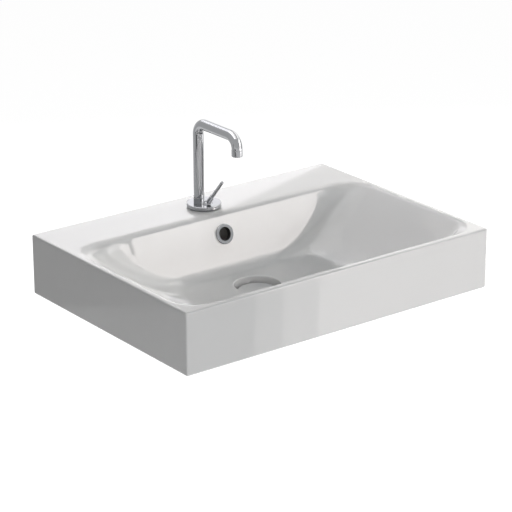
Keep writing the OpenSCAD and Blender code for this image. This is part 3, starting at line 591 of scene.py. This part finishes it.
# name, two colours, metal, roughness range, grain, relief height and grain, and for some the IOR
GLAZE = surface("glaze", (0.795, 0.795, 0.79), (0.805, 0.805, 0.8), 0, (0.02, 0.035), 9, 4e-5, 14, 1.55)
BISQUE = surface("bisque", (0.76, 0.75, 0.73), (0.82, 0.81, 0.79), 0, (0.35, 0.5), 60.0, 1e-4, 400.0)
CHROME = surface("chrome", (0.36, 0.367, 0.38), (0.39, 0.397, 0.41), 1, (0.03, 0.05), 40.0, 4e-6, 120.0)
BRASS = surface("brass", (0.72, 0.53, 0.28), (0.8, 0.62, 0.36), 1, (0.28, 0.42), 180.0, 1e-5, 900.0)
RUBBER = surface("rubber", (0.02, 0.02, 0.021), (0.035, 0.035, 0.036), 0, (0.55, 0.75), 300.0, 2e-5, 1500.0)
# unglazed clay for the inside of the overflow passage, its dark colour painted shade standing in for the
# shade in the passage
CLAY_PAINTED_SHADE = surface("clay_painted_shade", (0.2, 0.19, 0.18), (0.28, 0.27, 0.25), 0, (0.6, 0.8), 90.0, 2e-4, 500.0, 1.45)
PLASTIC = surface("plastic", (0.78, 0.78, 0.76), (0.83, 0.83, 0.81), 0, (0.32, 0.45), 90.0, 1e-5, 900.0)
STEEL = surface("steel", (0.56, 0.57, 0.58), (0.64, 0.65, 0.66), 1, (0.2, 0.34), 150.0, 1e-5, 700.0)
SPRING = surface("spring", (0.42, 0.43, 0.44), (0.52, 0.53, 0.54), 1, (0.25, 0.36), 200.0, 5e-6, 900.0)

FINISH = {
    "glazed_ceramic": GLAZE,
    "chrome": CHROME,
    "raw_brass": BRASS,
    "black_rubber": RUBBER,
    "white_plastic": PLASTIC,
    "stainless_steel": STEEL,
    "spring_steel": SPRING,
}
SLOT_OF = {row["node"]: row["material_slot"] for row in frame["record"]["subparts"]}


def piece(obj, *nodes, dressed=False):
    """Dresses a new piece and lets it stand for CAD nodes, on the body of the first one."""
    slot = SLOT_OF[nodes[0]]
    if not dressed:
        obj.data.materials.clear()
        obj.data.materials.append(FINISH[slot])
    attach(obj, NODES[nodes[0]]["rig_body"])
    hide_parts(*nodes)
    return obj


# carried-over nodes take the finish of their slot
for node, obj in NODES.items():
    obj.data.materials.clear()
    obj.data.materials.append(FINISH[SLOT_OF[node]])

# basin, overflow ring and plug
piece(basin(), "basin_body", dressed=True)

RING_R, RING_BORE_R, RING_PROUD, SLEEVE_R, SLEEVE_L = 17.0, 11.25, 2.4, 12.7, 8.0
piece(lathe("overflow_trim", [
    (RING_R, 0, 0.1), (RING_R, RING_PROUD, 2.2), (RING_BORE_R, RING_PROUD, 1.0),
    (RING_BORE_R, -SLEEVE_L, 0.3), (SLEEVE_R, -SLEEVE_L, 0.3), (SLEEVE_R, 0, 0.1),
], OVERFLOW_AT, 128), "overflow_ring")

PLUG_R, PLUG_Z, PLUG_TOP = 32.75, -66.2, -61.5
piece(lathe("plug_disc", [
    (0, PLUG_Z, 0), (PLUG_R, PLUG_Z, 0.6), (PLUG_R, PLUG_TOP, 1.6), (0, PLUG_TOP, 0),
], at(0, DRAIN_Y, 0), 128), "plug_cap")

# waste below the ceramic
WASTE_R, WASTE_BORE_R, WASTE_LOW, WASTE_PITCH = 20.95, 17.95, -157.0, 2.309
FLANGE_R, FLANGE_LOW, FLANGE_TOP, FLARE = 35.0, SEAT + 1.5, SEAT + 4.0, 3.4
GROOVE_LOW, GROOVE_TOP = -127.0, -124.2
BRIDGE_Z, BRIDGE_T, BRIDGE_R, LATCH_R = PASSAGE_LOW - 6, 4.0, 8.5, 6.5
THREAD_DEPTH = 1.1
# the room that a seal or nut has round its tube
SLIP = 0.3
WASTE_NUT_FLATS, WASTE_NUT_H = 56.0, 11.0


def latch_bridge(place):
    """The ring that holds the latch, on three arms that reach into the tube's wall."""
    hub = lathe("waste_hub", [
        (LATCH_R, BRIDGE_Z, 0.3), (BRIDGE_R, BRIDGE_Z, 0.3),
        (BRIDGE_R, BRIDGE_Z + BRIDGE_T, 0.3), (LATCH_R, BRIDGE_Z + BRIDGE_T, 0.3),
    ], place, 64)
    hub.modifiers.clear()
    for k in range(3):
        arm = block(
            (LATCH_R + 0.6, -1.5, BRIDGE_Z + 0.1), (WASTE_BORE_R + 0.6, 1.5, BRIDGE_Z + BRIDGE_T - 0.1),
            0.4, 2, along_x,
        )
        turn_about(arm, DRAIN_Y, 90 + 120 * k)
        boolean(hub, arm, "UNION")
    return hub


def waste():
    """The flanged tube with its thread, the slots for the overflow and the bridge for the latch."""
    low = thread_wave(WASTE_R, WASTE_LOW + 0.6, GROOVE_LOW, WASTE_PITCH, THREAD_DEPTH)
    high = thread_wave(WASTE_R, GROOVE_TOP, FLANGE_LOW - 3, WASTE_PITCH, THREAD_DEPTH)
    outline = (
        [(WASTE_BORE_R, WASTE_LOW, 0.4), (WASTE_R - 0.6, WASTE_LOW, 0)]
        + thread_side(WASTE_R, WASTE_LOW + 0.6, GROOVE_LOW, WASTE_PITCH)
        + [(WASTE_R - 0.8, GROOVE_LOW + 0.8, 0), (WASTE_R - 0.8, GROOVE_TOP - 0.8, 0)]
        + thread_side(WASTE_R, GROOVE_TOP, FLANGE_LOW - 3, WASTE_PITCH)
        + [
            (WASTE_R, FLANGE_LOW, 0), (FLANGE_R - 1, FLANGE_LOW, 0), (FLANGE_R, FLANGE_LOW + 1, 0),
            (FLANGE_R, FLANGE_TOP, 0.4), (WASTE_BORE_R + FLARE, FLANGE_TOP, 0.5),
            (WASTE_BORE_R, FLANGE_LOW - FLARE, 1.5),
        ]
    )
    place = at(0, DRAIN_Y, 0)
    obj = lathe("waste_tube", outline, place, 96, wave=lambda r, z, t: low(r, z, t) + high(r, z, t))
    obj.modifiers.clear()
    for k in range(4):
        slot = block(
            (WASTE_BORE_R - 3, -4.5, PASSAGE_LOW), (WASTE_R + 3, 4.5, PASSAGE_TOP),
            1.5, 3, along_x,
        )
        turn_about(slot, DRAIN_Y, 45 + 90 * k)
        boolean(obj, slot, "DIFFERENCE")
    boolean(obj, latch_bridge(place), "UNION")
    return shaded(obj, 35)


piece(waste(), "waste_body")
piece(washer("flange_seal", WASTE_R + SLIP, FLANGE_R - 1.5, SEAT, 1.5, DRAIN_Y, 0.4), "waste_top_seal")
piece(lathe("tapered_seal", [
    (WASTE_R + SLIP, COLLAR_Z - 9, 0.3), (WASTE_R + 8.3, COLLAR_Z - 9, 1.2),
    (WASTE_R + 8.3, COLLAR_Z - 3, 1.2), (WASTE_R + 6.3, COLLAR_Z, 0.6), (WASTE_R + SLIP, COLLAR_Z, 0.3),
], at(0, DRAIN_Y, 0)), "waste_lower_seal")
piece(washer(
    "slip_ring", WASTE_R + SLIP, WASTE_R + 9, COLLAR_Z - 10.5, 1.5, DRAIN_Y, 0.3,
), "waste_slip_washer")
piece(hex_nut(
    "clamp_nut", WASTE_NUT_FLATS, WASTE_NUT_H, 2 * (WASTE_R + SLIP), at(0, DRAIN_Y, COLLAR_Z - 21.5),
), "waste_nut")

# mixer base and what clamps it
PLATE_Y, SPOUT_Y = -57.0, -43.0
PLATE_LOW, PLATE_TOP, PLATE_R, LEDGE = RIM + 1, RIM + 7.5, 29.0, 1.2
BALL_Z, BALL_R, RING_TURN_R, SPIGOT_R = 47.2, 7.0, 9.75, 6.5
SHANK_R, SHANK_LOW, SHANK_BORE_R, CARTRIDGE_LOW = 16.5, RIM - 62, 12.7, 3.9
SHANK_PITCH, SHANK_THREAD = 1.5, 0.75
INLET_R, INLET_X, INLET_L, INLET_PITCH, INLET_THREAD = 4.6, 7.5, 12, 1.0, 0.45
SHANK_NUT_FLATS, SHANK_NUT_H, LEDGE_WASHER_R = 40.0, 8.0, 24
PIN_R, PIN_REACH = 1.5, 12
PIVOT_AT = at(0, TAP_Y, BALL_Z) @ Matrix.Rotation(math.radians(90), 4, "Y")


def plate():
    """The round plate with the seats for the lever's ring and the spout, and the screw's hole."""
    obj = lathe("base_plate", [
        (0, PLATE_LOW, 0), (PLATE_R, PLATE_LOW, 0.3), (PLATE_R, PLATE_TOP, 1.0), (0, PLATE_TOP, 0),
    ], at(0, PLATE_Y, 0), 192, 8)
    obj.modifiers.clear()
    for name, y, r, low in (
        ("ring_seat", TAP_Y, RING_TURN_R + 0.05, PLATE_LOW + LEDGE),
        ("spout_seat", SPOUT_Y, SPIGOT_R + 0.05, PLATE_LOW + LEDGE),
    ):
        boolean(obj, lathe(name, [
            (0, low, 0), (r, low, 0), (r, PLATE_TOP - 0.25, 0),
            (r + 0.5, PLATE_TOP + 0.25, 0), (0, PLATE_TOP + 0.25, 0),
        ], at(0, y, 0)), "DIFFERENCE")
    foot = round_hole(RING_TURN_R - 1.45, PLATE_LOW - 1, PLATE_LOW + 2, at(0, TAP_Y, 0))
    boolean(obj, foot, "DIFFERENCE")
    screw = round_hole(PIN_R, 3, PLATE_R, at(0, SPOUT_Y, PLATE_LOW + 3.25, -90), 32)
    boolean(obj, screw, "DIFFERENCE")
    return shaded(obj, 25)


def gasket():
    """The flat seal under the plate, open round the shank."""
    obj = lathe("base_gasket", [
        (0, RIM, 0), (PLATE_R - 1.5, RIM, 0.3), (PLATE_R - 1.5, PLATE_LOW, 0.3), (0, PLATE_LOW, 0),
    ], at(0, PLATE_Y, 0))
    boolean(obj, round_hole(SHANK_R + SLIP, RIM - 1, PLATE_LOW + 1, at(0, TAP_Y, 0)), "DIFFERENCE")
    return weighted(clean(obj))


def shank():
    """The threaded shank with the two threaded supply holes in its foot."""
    wave = thread_wave(SHANK_R, SHANK_LOW + 1, RIM - 2, SHANK_PITCH, SHANK_THREAD)
    obj = lathe("tap_shank", (
        [(0, SHANK_LOW, 0), (SHANK_R - 1, SHANK_LOW, 0)]
        + thread_side(SHANK_R, SHANK_LOW + 1, RIM - 2, SHANK_PITCH)
        + [(SHANK_R, PLATE_LOW, 0), (SHANK_BORE_R, PLATE_LOW, 0)]
        + [(SHANK_BORE_R, CARTRIDGE_LOW, 0), (0, CARTRIDGE_LOW, 0)]
    ), at(0, TAP_Y, 0), 96, wave=wave)
    obj.modifiers.clear()
    top = SHANK_LOW + INLET_L
    side = thread_side(INLET_R, SHANK_LOW + 1, top, INLET_PITCH)
    inner = thread_wave(INLET_R, SHANK_LOW + 1, top, INLET_PITCH, -INLET_THREAD)
    outline = [(0, SHANK_LOW - 1, 0), (INLET_R + 1, SHANK_LOW - 1, 0)] + side + [(0, top, 0)]
    for sx in (-1, 1):
        cut = lathe("inlet", outline, at(sx * INLET_X, TAP_Y, 0), 48, wave=inner)
        boolean(obj, cut, "DIFFERENCE")
    return shaded(obj, 35)


def turning_ring():
    """The ring that holds the lever's ball in a round seat, with the holes for its pivot."""
    low, top, seat = PLATE_LOW + 1.4, PLATE_LOW + 6.2, BALL_R + 0.3
    inner = []
    for k in range(13):
        z = top - 0.2 + (low - top + 0.2) * k / 12
        inner.append((math.sqrt(seat ** 2 - (z - BALL_Z) ** 2), z, 0))
    obj = lathe("turning_ring", (
        [(RING_TURN_R, low, 0.2), (RING_TURN_R, top, 0.35), (inner[0][0] + 0.2, top, 0)] + inner
    ), at(0, TAP_Y, 0), 128)
    obj.modifiers.clear()
    boolean(obj, round_hole(PIN_R + 0.05, -PIN_REACH, PIN_REACH, PIVOT_AT, 32), "DIFFERENCE")
    return shaded(obj, 35)


piece(plate(), "mixer_plate")
piece(gasket(), "plate_gasket")
piece(shank(), "shank")
for name, low, height, edge, node in (
    ("ledge_rubber", CEILING - 3, 3, 0.7, "rubber_washer"),
    ("ledge_washer", CEILING - 5, 2, 0.3, "steel_washer"),
):
    piece(washer(name, SHANK_R + SLIP, LEDGE_WASHER_R, low, height, TAP_Y, edge), node)
piece(hex_nut(
    "shank_clamp_nut", SHANK_NUT_FLATS, SHANK_NUT_H, 2 * (SHANK_R + SLIP), at(0, TAP_Y, CEILING - 13),
), "shank_nut")
piece(turning_ring(), "turn_ring")

# spout
TUBE_R, TUBE_BORE_R, TUBE_LOW, BEND_R = 9.0, 7.5, PLATE_TOP + 5.9, 19.0
SPOUT_REACH, AERATOR_H, AERATOR_R = 107, 10.5, 9.15
ARM_Z, OUTLET_Y, OUTLET_Z = RIM + 142.5, SPOUT_Y - SPOUT_REACH, RIM + 111.5
AERATOR_TOP = OUTLET_Z + AERATOR_H


def bend(y, start):
    """A quarter bend under the arm about a middle y, from a starting angle in degrees."""
    points = []
    for k in range(25):
        a = start + 90.0 * k / 24
        c, s = math.cos(math.radians(a)), math.sin(math.radians(a))
        points.append((y + BEND_R * c, ARM_Z - BEND_R + BEND_R * s, 90.0 + a))
    return points


def spout_stations():
    """Middle line of the spout: points (y, z), each with the direction of flow in degrees."""
    line = [(SPOUT_Y, TUBE_LOW, 90.0), (SPOUT_Y, TUBE_LOW + 0.4, 90.0)]
    line += [(SPOUT_Y, TUBE_LOW + (ARM_Z - BEND_R - TUBE_LOW) * k / 12, 90.0) for k in range(1, 12)]
    line += bend(SPOUT_Y - BEND_R, 0.0)
    span = SPOUT_Y - OUTLET_Y - 2 * BEND_R
    line += [(SPOUT_Y - BEND_R - span * k / 10, ARM_Z, 180.0) for k in range(1, 10)]
    line += bend(OUTLET_Y + BEND_R, 90.0)
    line.append((OUTLET_Y, AERATOR_TOP + 0.4, 270.0))
    line.append((OUTLET_Y, AERATOR_TOP, 270.0))
    return line


def spout():
    """The bent tube, hollow from the collar to the aerator, with softened ends."""
    n = 96
    line = spout_stations()
    last = len(line) - 1
    walls = []
    for k, (y, z, flow) in enumerate(line):
        if k in (0, last):
            rim = [(y, z, flow, TUBE_R - 0.35, 0.0), (y, z, flow, TUBE_R - 0.1, 0.1)]
            walls += rim if k == 0 else rim[::-1]
        else:
            walls.append((y, z, flow, TUBE_R, 0.0))
    walls += [(y, z, flow, TUBE_BORE_R, 0.0) for y, z, flow in reversed(line)]
    verts, rows = [], []
    for y, z, flow, r, inset in walls:
        c, s = math.cos(math.radians(flow)), math.sin(math.radians(flow))
        step = inset if y == SPOUT_Y else -inset
        rows.append(range(len(verts), len(verts) + n))
        for i in range(n):
            t = 2 * math.pi * i / n
            off = r * math.sin(t)
            verts.append((r * math.cos(t), y + step * c + off * s, z + step * s - off * c))
    return shaded(new_object("spout_pipe", verts, grid_faces(rows), None), 35, 1e-7)


piece(lathe("spout_foot", [
    (SPIGOT_R + 0.05, PLATE_TOP, 0), (TUBE_R, PLATE_TOP, 0),
    (TUBE_R, PLATE_TOP + 5.5, 0.4), (SPIGOT_R + 0.05, PLATE_TOP + 5.5, 0.2),
], at(0, SPOUT_Y, 0), 128), "spout_collar")
piece(spout(), "spout_tube")
piece(lathe("aerator_shell", [
    (AERATOR_R - 1.6, OUTLET_Z, 0.3), (AERATOR_R, OUTLET_Z, 0.9), (AERATOR_R, AERATOR_TOP, 0.5),
    (TUBE_BORE_R - 2, AERATOR_TOP, 0.2), (TUBE_BORE_R - 2, AERATOR_TOP - 1.5, 0.2),
    (AERATOR_R - 1.6, AERATOR_TOP - 1.5, 0),
], at(0, OUTLET_Y, 0), 128), "aerator_housing")

# lever
LEAN, FOOT_R, FOOT_L, ROD_R, LEVER_L = 41.0, 4.0, 25.0, 2.8, 68.0
SOCKET_Z, TAIL_R, TAIL_L, ROD_SOCKET = BALL_R - 2.5, 2.0, 13, 6
LEVER_AT = at(0, TAP_Y, BALL_Z, LEAN)


def ball():
    """The ball with its tail below and the socket for the lever's foot above."""
    neck = FOOT_R - 1
    low = -math.sqrt(BALL_R ** 2 - TAIL_R ** 2)
    first, last = math.degrees(math.atan2(low, TAIL_R)), math.degrees(math.acos(neck / BALL_R))
    outline = [(0, -TAIL_L, 0), (TAIL_R, -TAIL_L, 0.6)]
    outline += [(r, z, 0) for r, z in arc(0, 0, BALL_R, first, last, 40)]
    outline += [(neck, SOCKET_Z, 0), (0, SOCKET_Z, 0)]
    obj = lathe("lever_knuckle", outline, LEVER_AT, 96)
    obj.modifiers.clear()
    boolean(obj, round_hole(PIN_R, -PIN_REACH, PIN_REACH, PIVOT_AT, 32), "DIFFERENCE")
    return shaded(obj, 35)


piece(ball(), "lever_ball")
piece(lathe("lever_shaft", [
    (0, SOCKET_Z, 0), (FOOT_R - 1, SOCKET_Z, 0), (FOOT_R - 1, BALL_R - 0.4, 0),
    (FOOT_R, BALL_R + 0.6, 0.4), (FOOT_R, FOOT_L, 0.7), (ROD_R - 0.8, FOOT_L, 0),
    (ROD_R - 0.8, FOOT_L - ROD_SOCKET, 0), (0, FOOT_L - ROD_SOCKET, 0),
], LEVER_AT, 96), "lever_foot")
piece(lathe("lever_pin", [
    (0, FOOT_L - ROD_SOCKET + 0.1, 0), (ROD_R - 0.85, FOOT_L - ROD_SOCKET + 0.1, 0),
    (ROD_R - 0.85, FOOT_L, 0), (ROD_R, FOOT_L, 0), (ROD_R, LEVER_L, 1.7), (0, LEVER_L, 0),
], LEVER_AT, 96, 8), "lever_rod")

# camera
AZ, EL, ROLL = math.radians(-37.2), math.radians(20.62), math.radians(-0.16)
LENS, CAMERA_AT = 157.87, (-2.0649, -2.9203, 1.2812)
back = Vector((math.sin(AZ) * math.cos(EL), -math.cos(AZ) * math.cos(EL), math.sin(EL)))
right = Vector((math.cos(AZ), math.sin(AZ), 0))
up = back.cross(right)
rolled_right = right * math.cos(ROLL) + up * math.sin(ROLL)
rolled_up = up * math.cos(ROLL) - right * math.sin(ROLL)
cam = bpy.data.objects.new("camera", bpy.data.cameras.new("camera"))
SCENE.collection.objects.link(cam)
cam.data.sensor_width = 36.0
cam.data.sensor_fit = "HORIZONTAL"
cam.data.lens = LENS
cam.data.clip_end = 200.0
cam.matrix_world = (
    Matrix.Translation(CAMERA_AT) @ Matrix((rolled_right, rolled_up, back)).transposed().to_4x4()
)
SCENE.camera = cam

# stage
SCENE.view_settings.view_transform = "Standard"
FLOOR_HALF, FLOOR_Z = 20000, UNDER - 750


def white_to_camera(nodes, links, shader, out, white):
    """Camera, mirror and clear rays see a plain white in place of the shader."""
    path = nodes.new("ShaderNodeLightPath")
    camera_or_mirror = nodes.new("ShaderNodeMath")
    camera_or_mirror.operation = "MAXIMUM"
    or_clear = nodes.new("ShaderNodeMath")
    or_clear.operation = "MAXIMUM"
    links.new(path.outputs["Is Camera Ray"], camera_or_mirror.inputs[0])
    links.new(path.outputs["Is Glossy Ray"], camera_or_mirror.inputs[1])
    links.new(camera_or_mirror.outputs[0], or_clear.inputs[0])
    links.new(path.outputs["Is Transmission Ray"], or_clear.inputs[1])
    mix = nodes.new("ShaderNodeMixShader")
    links.new(or_clear.outputs[0], mix.inputs["Fac"])
    links.new(shader, mix.inputs[1])
    links.new(white, mix.inputs[2])
    links.new(mix.outputs[0], out)
    return mix.outputs[0]


def white_world():
    """A world that gives no light and shows white."""
    world = bpy.data.worlds.new("studio")
    world.use_nodes = True
    nodes, links = world.node_tree.nodes, world.node_tree.links
    plain = nodes["Background"]
    plain.inputs["Color"].default_value = (1, 1, 1, 1)
    plain.inputs["Strength"].default_value = 0.0
    seen = nodes.new("ShaderNodeBackground")
    seen.inputs["Strength"].default_value = 1.0
    out = nodes["World Output"].inputs["Surface"]
    white_to_camera(nodes, links, plain.outputs[0], out, seen.outputs[0])
    return world


def pale_floor():
    """A floor that shows white with the object's shadow, and is clear from below."""
    h, z = FLOOR_HALF, FLOOR_Z
    obj = new_object("floor", [(-h, -h, z), (h, -h, z), (h, h, z), (-h, h, z)], [(0, 1, 2, 3)])
    mat, nodes, links, shader = material("floor")
    out = nodes["Material Output"].inputs["Surface"]
    shader.inputs["Base Color"].default_value = (0.8, 0.8, 0.8, 1)
    shader.inputs["Roughness"].default_value = 0.9
    glow = nodes.new("ShaderNodeEmission")
    glow.inputs["Strength"].default_value = 0.98
    both = nodes.new("ShaderNodeAddShader")
    thin = nodes.new("ShaderNodeBsdfDiffuse")
    thin.inputs["Color"].default_value = (0.12, 0.12, 0.12, 1)
    links.new(glow.outputs[0], both.inputs[0])
    links.new(thin.outputs[0], both.inputs[1])
    above = white_to_camera(nodes, links, shader.outputs[0], out, both.outputs[0])
    facing = nodes.new("ShaderNodeNewGeometry")
    clear = nodes.new("ShaderNodeBsdfTransparent")
    sides = nodes.new("ShaderNodeMixShader")
    links.new(facing.outputs["Backfacing"], sides.inputs["Fac"])
    links.new(above, sides.inputs[1])
    links.new(clear.outputs[0], sides.inputs[2])
    links.new(sides.outputs[0], out)
    obj.data.materials.append(mat)
    return obj


SCENE.world = white_world()
floor = pale_floor()

# light
LAMP_DISTANCE, LAMP_AIM, CARD_AIM = 3.0, Vector((0, -0.2, 0)), Vector((0, -0.1, 0.1))
FLAG_CLEAR, FLAG_LOW, FLAG_TOP, FLAG_GAP = 0.32, -700, RIM - 1, 5
FLAG_SIDE = BASIN_W / 2 + FLAG_GAP


def axes(turn, rise):
    """Level, upward and outward directions at a turn from the front and a rise, in degrees."""
    turn, rise = math.radians(turn), math.radians(rise)
    level = Vector((math.cos(turn), math.sin(turn), 0))
    outward = Vector((math.sin(turn) * math.cos(rise), -math.cos(turn) * math.cos(rise), math.sin(rise)))
    return level, outward.cross(level), outward


def lamp(name, turn, rise, size_x, size_y, power, tint, roll=0.0):
    """A square-cornered lamp aimed at the basin, turned about its own aim by roll degrees."""
    data = bpy.data.lights.new(name, "AREA")
    data.shape = "RECTANGLE"
    data.size = size_x
    data.size_y = size_y
    data.energy = power
    data.color = tint
    obj = bpy.data.objects.new(name, data)
    SCENE.collection.objects.link(obj)
    obj.visible_camera = False
    directions = axes(turn, rise)
    obj.matrix_world = (
        Matrix.Translation(LAMP_AIM + LAMP_DISTANCE * directions[2])
        @ Matrix(directions).transposed().to_4x4()
        @ Matrix.Rotation(math.radians(roll), 4, "Z")
    )
    return obj


def open_to(name, *objects):
    """A list of the objects that cast no shade for a lamp."""
    group = bpy.data.collections.new(name)
    for obj in objects:
        group.objects.link(obj)
    for row in group.collection_objects:
        row.light_linking.link_state = "EXCLUDE"
    return group


def shade_only(obj):
    """A stage piece that casts shade and is never seen."""
    obj.visible_camera = False
    obj.visible_diffuse = False
    obj.visible_glossy = False
    obj.visible_transmission = False
    return obj


def half_clear():
    """A finish that lets a share of the light through."""
    mat, nodes, links = material("flag")[:3]
    clear = nodes.new("ShaderNodeBsdfTransparent")
    clear.inputs["Color"].default_value = (FLAG_CLEAR, FLAG_CLEAR, FLAG_CLEAR, 1)
    links.new(clear.outputs[0], nodes["Material Output"].inputs["Surface"])
    return mat


def upright_flag(name, start, end, finish):
    """An upright flag between two points seen from above, from near the floor up to the rim."""
    corners = [(*start, FLAG_LOW), (*end, FLAG_LOW), (*end, FLAG_TOP), (*start, FLAG_TOP)]
    obj = new_object(name, corners, [(0, 1, 2, 3)])
    obj.data.materials.append(finish)
    return shade_only(obj)


def card(name, turn, rise, distance, width, height, level):
    """A grey or dark card that stands out of the picture and shows in mirrors alone."""
    across, upward, outward = axes(turn, rise)
    mid = CARD_AIM + outward * distance
    corners = [
        (mid + across * (a * width) + upward * (b * height)) / MM
        for a, b in ((-0.5, -0.5), (0.5, -0.5), (0.5, 0.5), (-0.5, 0.5))
    ]
    obj = new_object(name, corners, [(0, 1, 2, 3)])
    mat, nodes, links, shader = material(name)
    shader.inputs["Base Color"].default_value = (0, 0, 0, 1)
    shader.inputs["Specular IOR Level"].default_value = 0
    shader.inputs["Emission Color"].default_value = (1, 1, 1, 1)
    shader.inputs["Emission Strength"].default_value = level
    mat.cycles.emission_sampling = "NONE"
    obj.data.materials.append(mat)
    obj.visible_camera = False
    obj.visible_diffuse = False
    obj.visible_transmission = False
    obj.visible_shadow = False


# half clear flags behind the back and beside the right end: they take light from the low rear lamp
# alone, so that it fills the ledge without washing out these two faces
flag_finish = half_clear()
back_flag = upright_flag("back_flag", (-FLAG_SIDE - 1, FLAG_GAP), (FLAG_SIDE + 1, FLAG_GAP), flag_finish)
end_flag = upright_flag("end_flag", (FLAG_SIDE, FLAG_GAP), (FLAG_SIDE, -BASIN_D - FLAG_GAP), flag_finish)
open_to_lamps = open_to("open_to_lamps", back_flag, end_flag)

# lamps that light the object and do not show as gloss: name, turn, rise, size, power, tint
REAR_LAMP = "lamp_150_18"
LAMPS = [
    ("lamp_m30_4", -30, 4, 0.6, 19.7, (0.956, 0.979, 1.0)),
    ("lamp_0_18", 0, 18, 0.6, 5.1, (1.0, 0.974, 0.905)),
    ("lamp_0_4", 0, 4, 0.6, 4.4, (1.0, 1.0, 1.0)),
    (REAR_LAMP, 150, 18, 0.6, 94.0, (1.0, 0.981, 0.988)),
    ("lamp_180_36", 180, 36, 0.6, 10.6, (1.0, 0.94, 0.905)),
    ("lamp_180_60", 180, 60, 0.6, 10.3, (1.0, 0.938, 0.908)),
    ("lamp_45_18", 45, 18, 0.6, 9.5, (0.97, 0.961, 1.0)),
    ("lamp_90_18", 90, 18, 0.6, 23.5, (1.0, 0.967, 0.905)),
    ("top", 0, 90, 1.2, 17.9, (0.905, 0.967, 1.0)),
]
for name, turn, rise, size, power, tint in LAMPS:
    light = lamp(name, turn, rise, size, size, power, tint)
    light.visible_glossy = False
    if name != REAR_LAMP:
        light.light_linking.blocker_collection = open_to_lamps

# cards for the chrome: name, turn, rise, distance, width, height, level
CARDS = [
    ("grey_card", -141, -10, 2.2, 1.7, 3.4, 0.75),
    ("dark_card", -74, -26, 2.0, 0.8, 1.2, 0.09),
    ("dark_strip", -104, -22, 2.0, 0.35, 1.6, 0.09),
]
for row in CARDS:
    card(*row)

# a small flag in front of the overflow ring, so that the ring mirrors no soft box
RING_FLAG_R, RING_FLAG_LOW, RING_FLAG_TOP = RING_R - 0.4, RING_PROUD + 0.8, RING_PROUD + 1.0
ring_flag = lathe("ring_flag", [
    (0, RING_FLAG_LOW, 0), (RING_FLAG_R, RING_FLAG_LOW, 0),
    (RING_FLAG_R, RING_FLAG_TOP, 0), (0, RING_FLAG_TOP, 0),
], OVERFLOW_AT, 48)
ring_flag.data.materials.append(bpy.data.materials["dark_card"])
shade_only(ring_flag)

# soft boxes that only show as gloss: name, turn, rise, roll, width, height, radiance, tint
# the basin shades the low ones alone, so that no wall cuts the reflection in the wall behind it
BOXES = [
    ("wall_box", 33.8, 4.2, -17.2, 0.59, 2.00, 5.85, (1.0, 0.94, 0.914)),
    ("sky_box", 195.1, 71.0, -38.7, 1.99, 6.20, 1.55, (0.993, 0.969, 1.0)),
    ("sky_box_wide", 164.4, 84.9, -93.5, 4.33, 2.59, 0.87, (1.0, 0.944, 0.909)),
    ("side_box", 83.3, 33.3, -10.1, 7.00, 1.48, 1.09, (1.0, 0.989, 0.953)),
    ("ledge_box", 147.7, 17.2, 23.1, 1.41, 0.35, 0.95, (0.976, 0.958, 1.0)),
    ("extra_a", 55.3, 24.4, 13.7, 1.48, 1.32, 2.41, (1.0, 0.967, 0.944)),
    ("extra_c", 103.0, 45.0, -19.6, 2.84, 0.35, 1.91, (1.0, 0.944, 0.905)),
    ("low_box", 49.0, -20.0, 0.0, 1.72, 1.30, 0.9, (1.0, 0.958, 0.935)),
    ("low_box_mid", 50.0, -20.0, 0.0, 1.66, 1.30, 1.0, (1.0, 0.958, 0.935)),
    ("low_box_right", 51.0, -20.0, 0.0, 1.56, 1.30, 1.2, (1.0, 0.958, 0.935)),
]
glazed = bpy.data.objects["basin_glazed"]
open_to_boxes = open_to("open_to_boxes", glazed, floor, back_flag, end_flag)
floor_is_open = open_to("floor_is_open", floor, back_flag, end_flag)
for name, turn, rise, roll, width, height, radiance, tint in BOXES:
    box = lamp(name, turn, rise, width, height, radiance * math.pi * width * height, tint, roll)
    box.visible_diffuse = False
    box.visible_transmission = False
    box.light_linking.blocker_collection = floor_is_open if name.startswith("low_box") else open_to_boxes
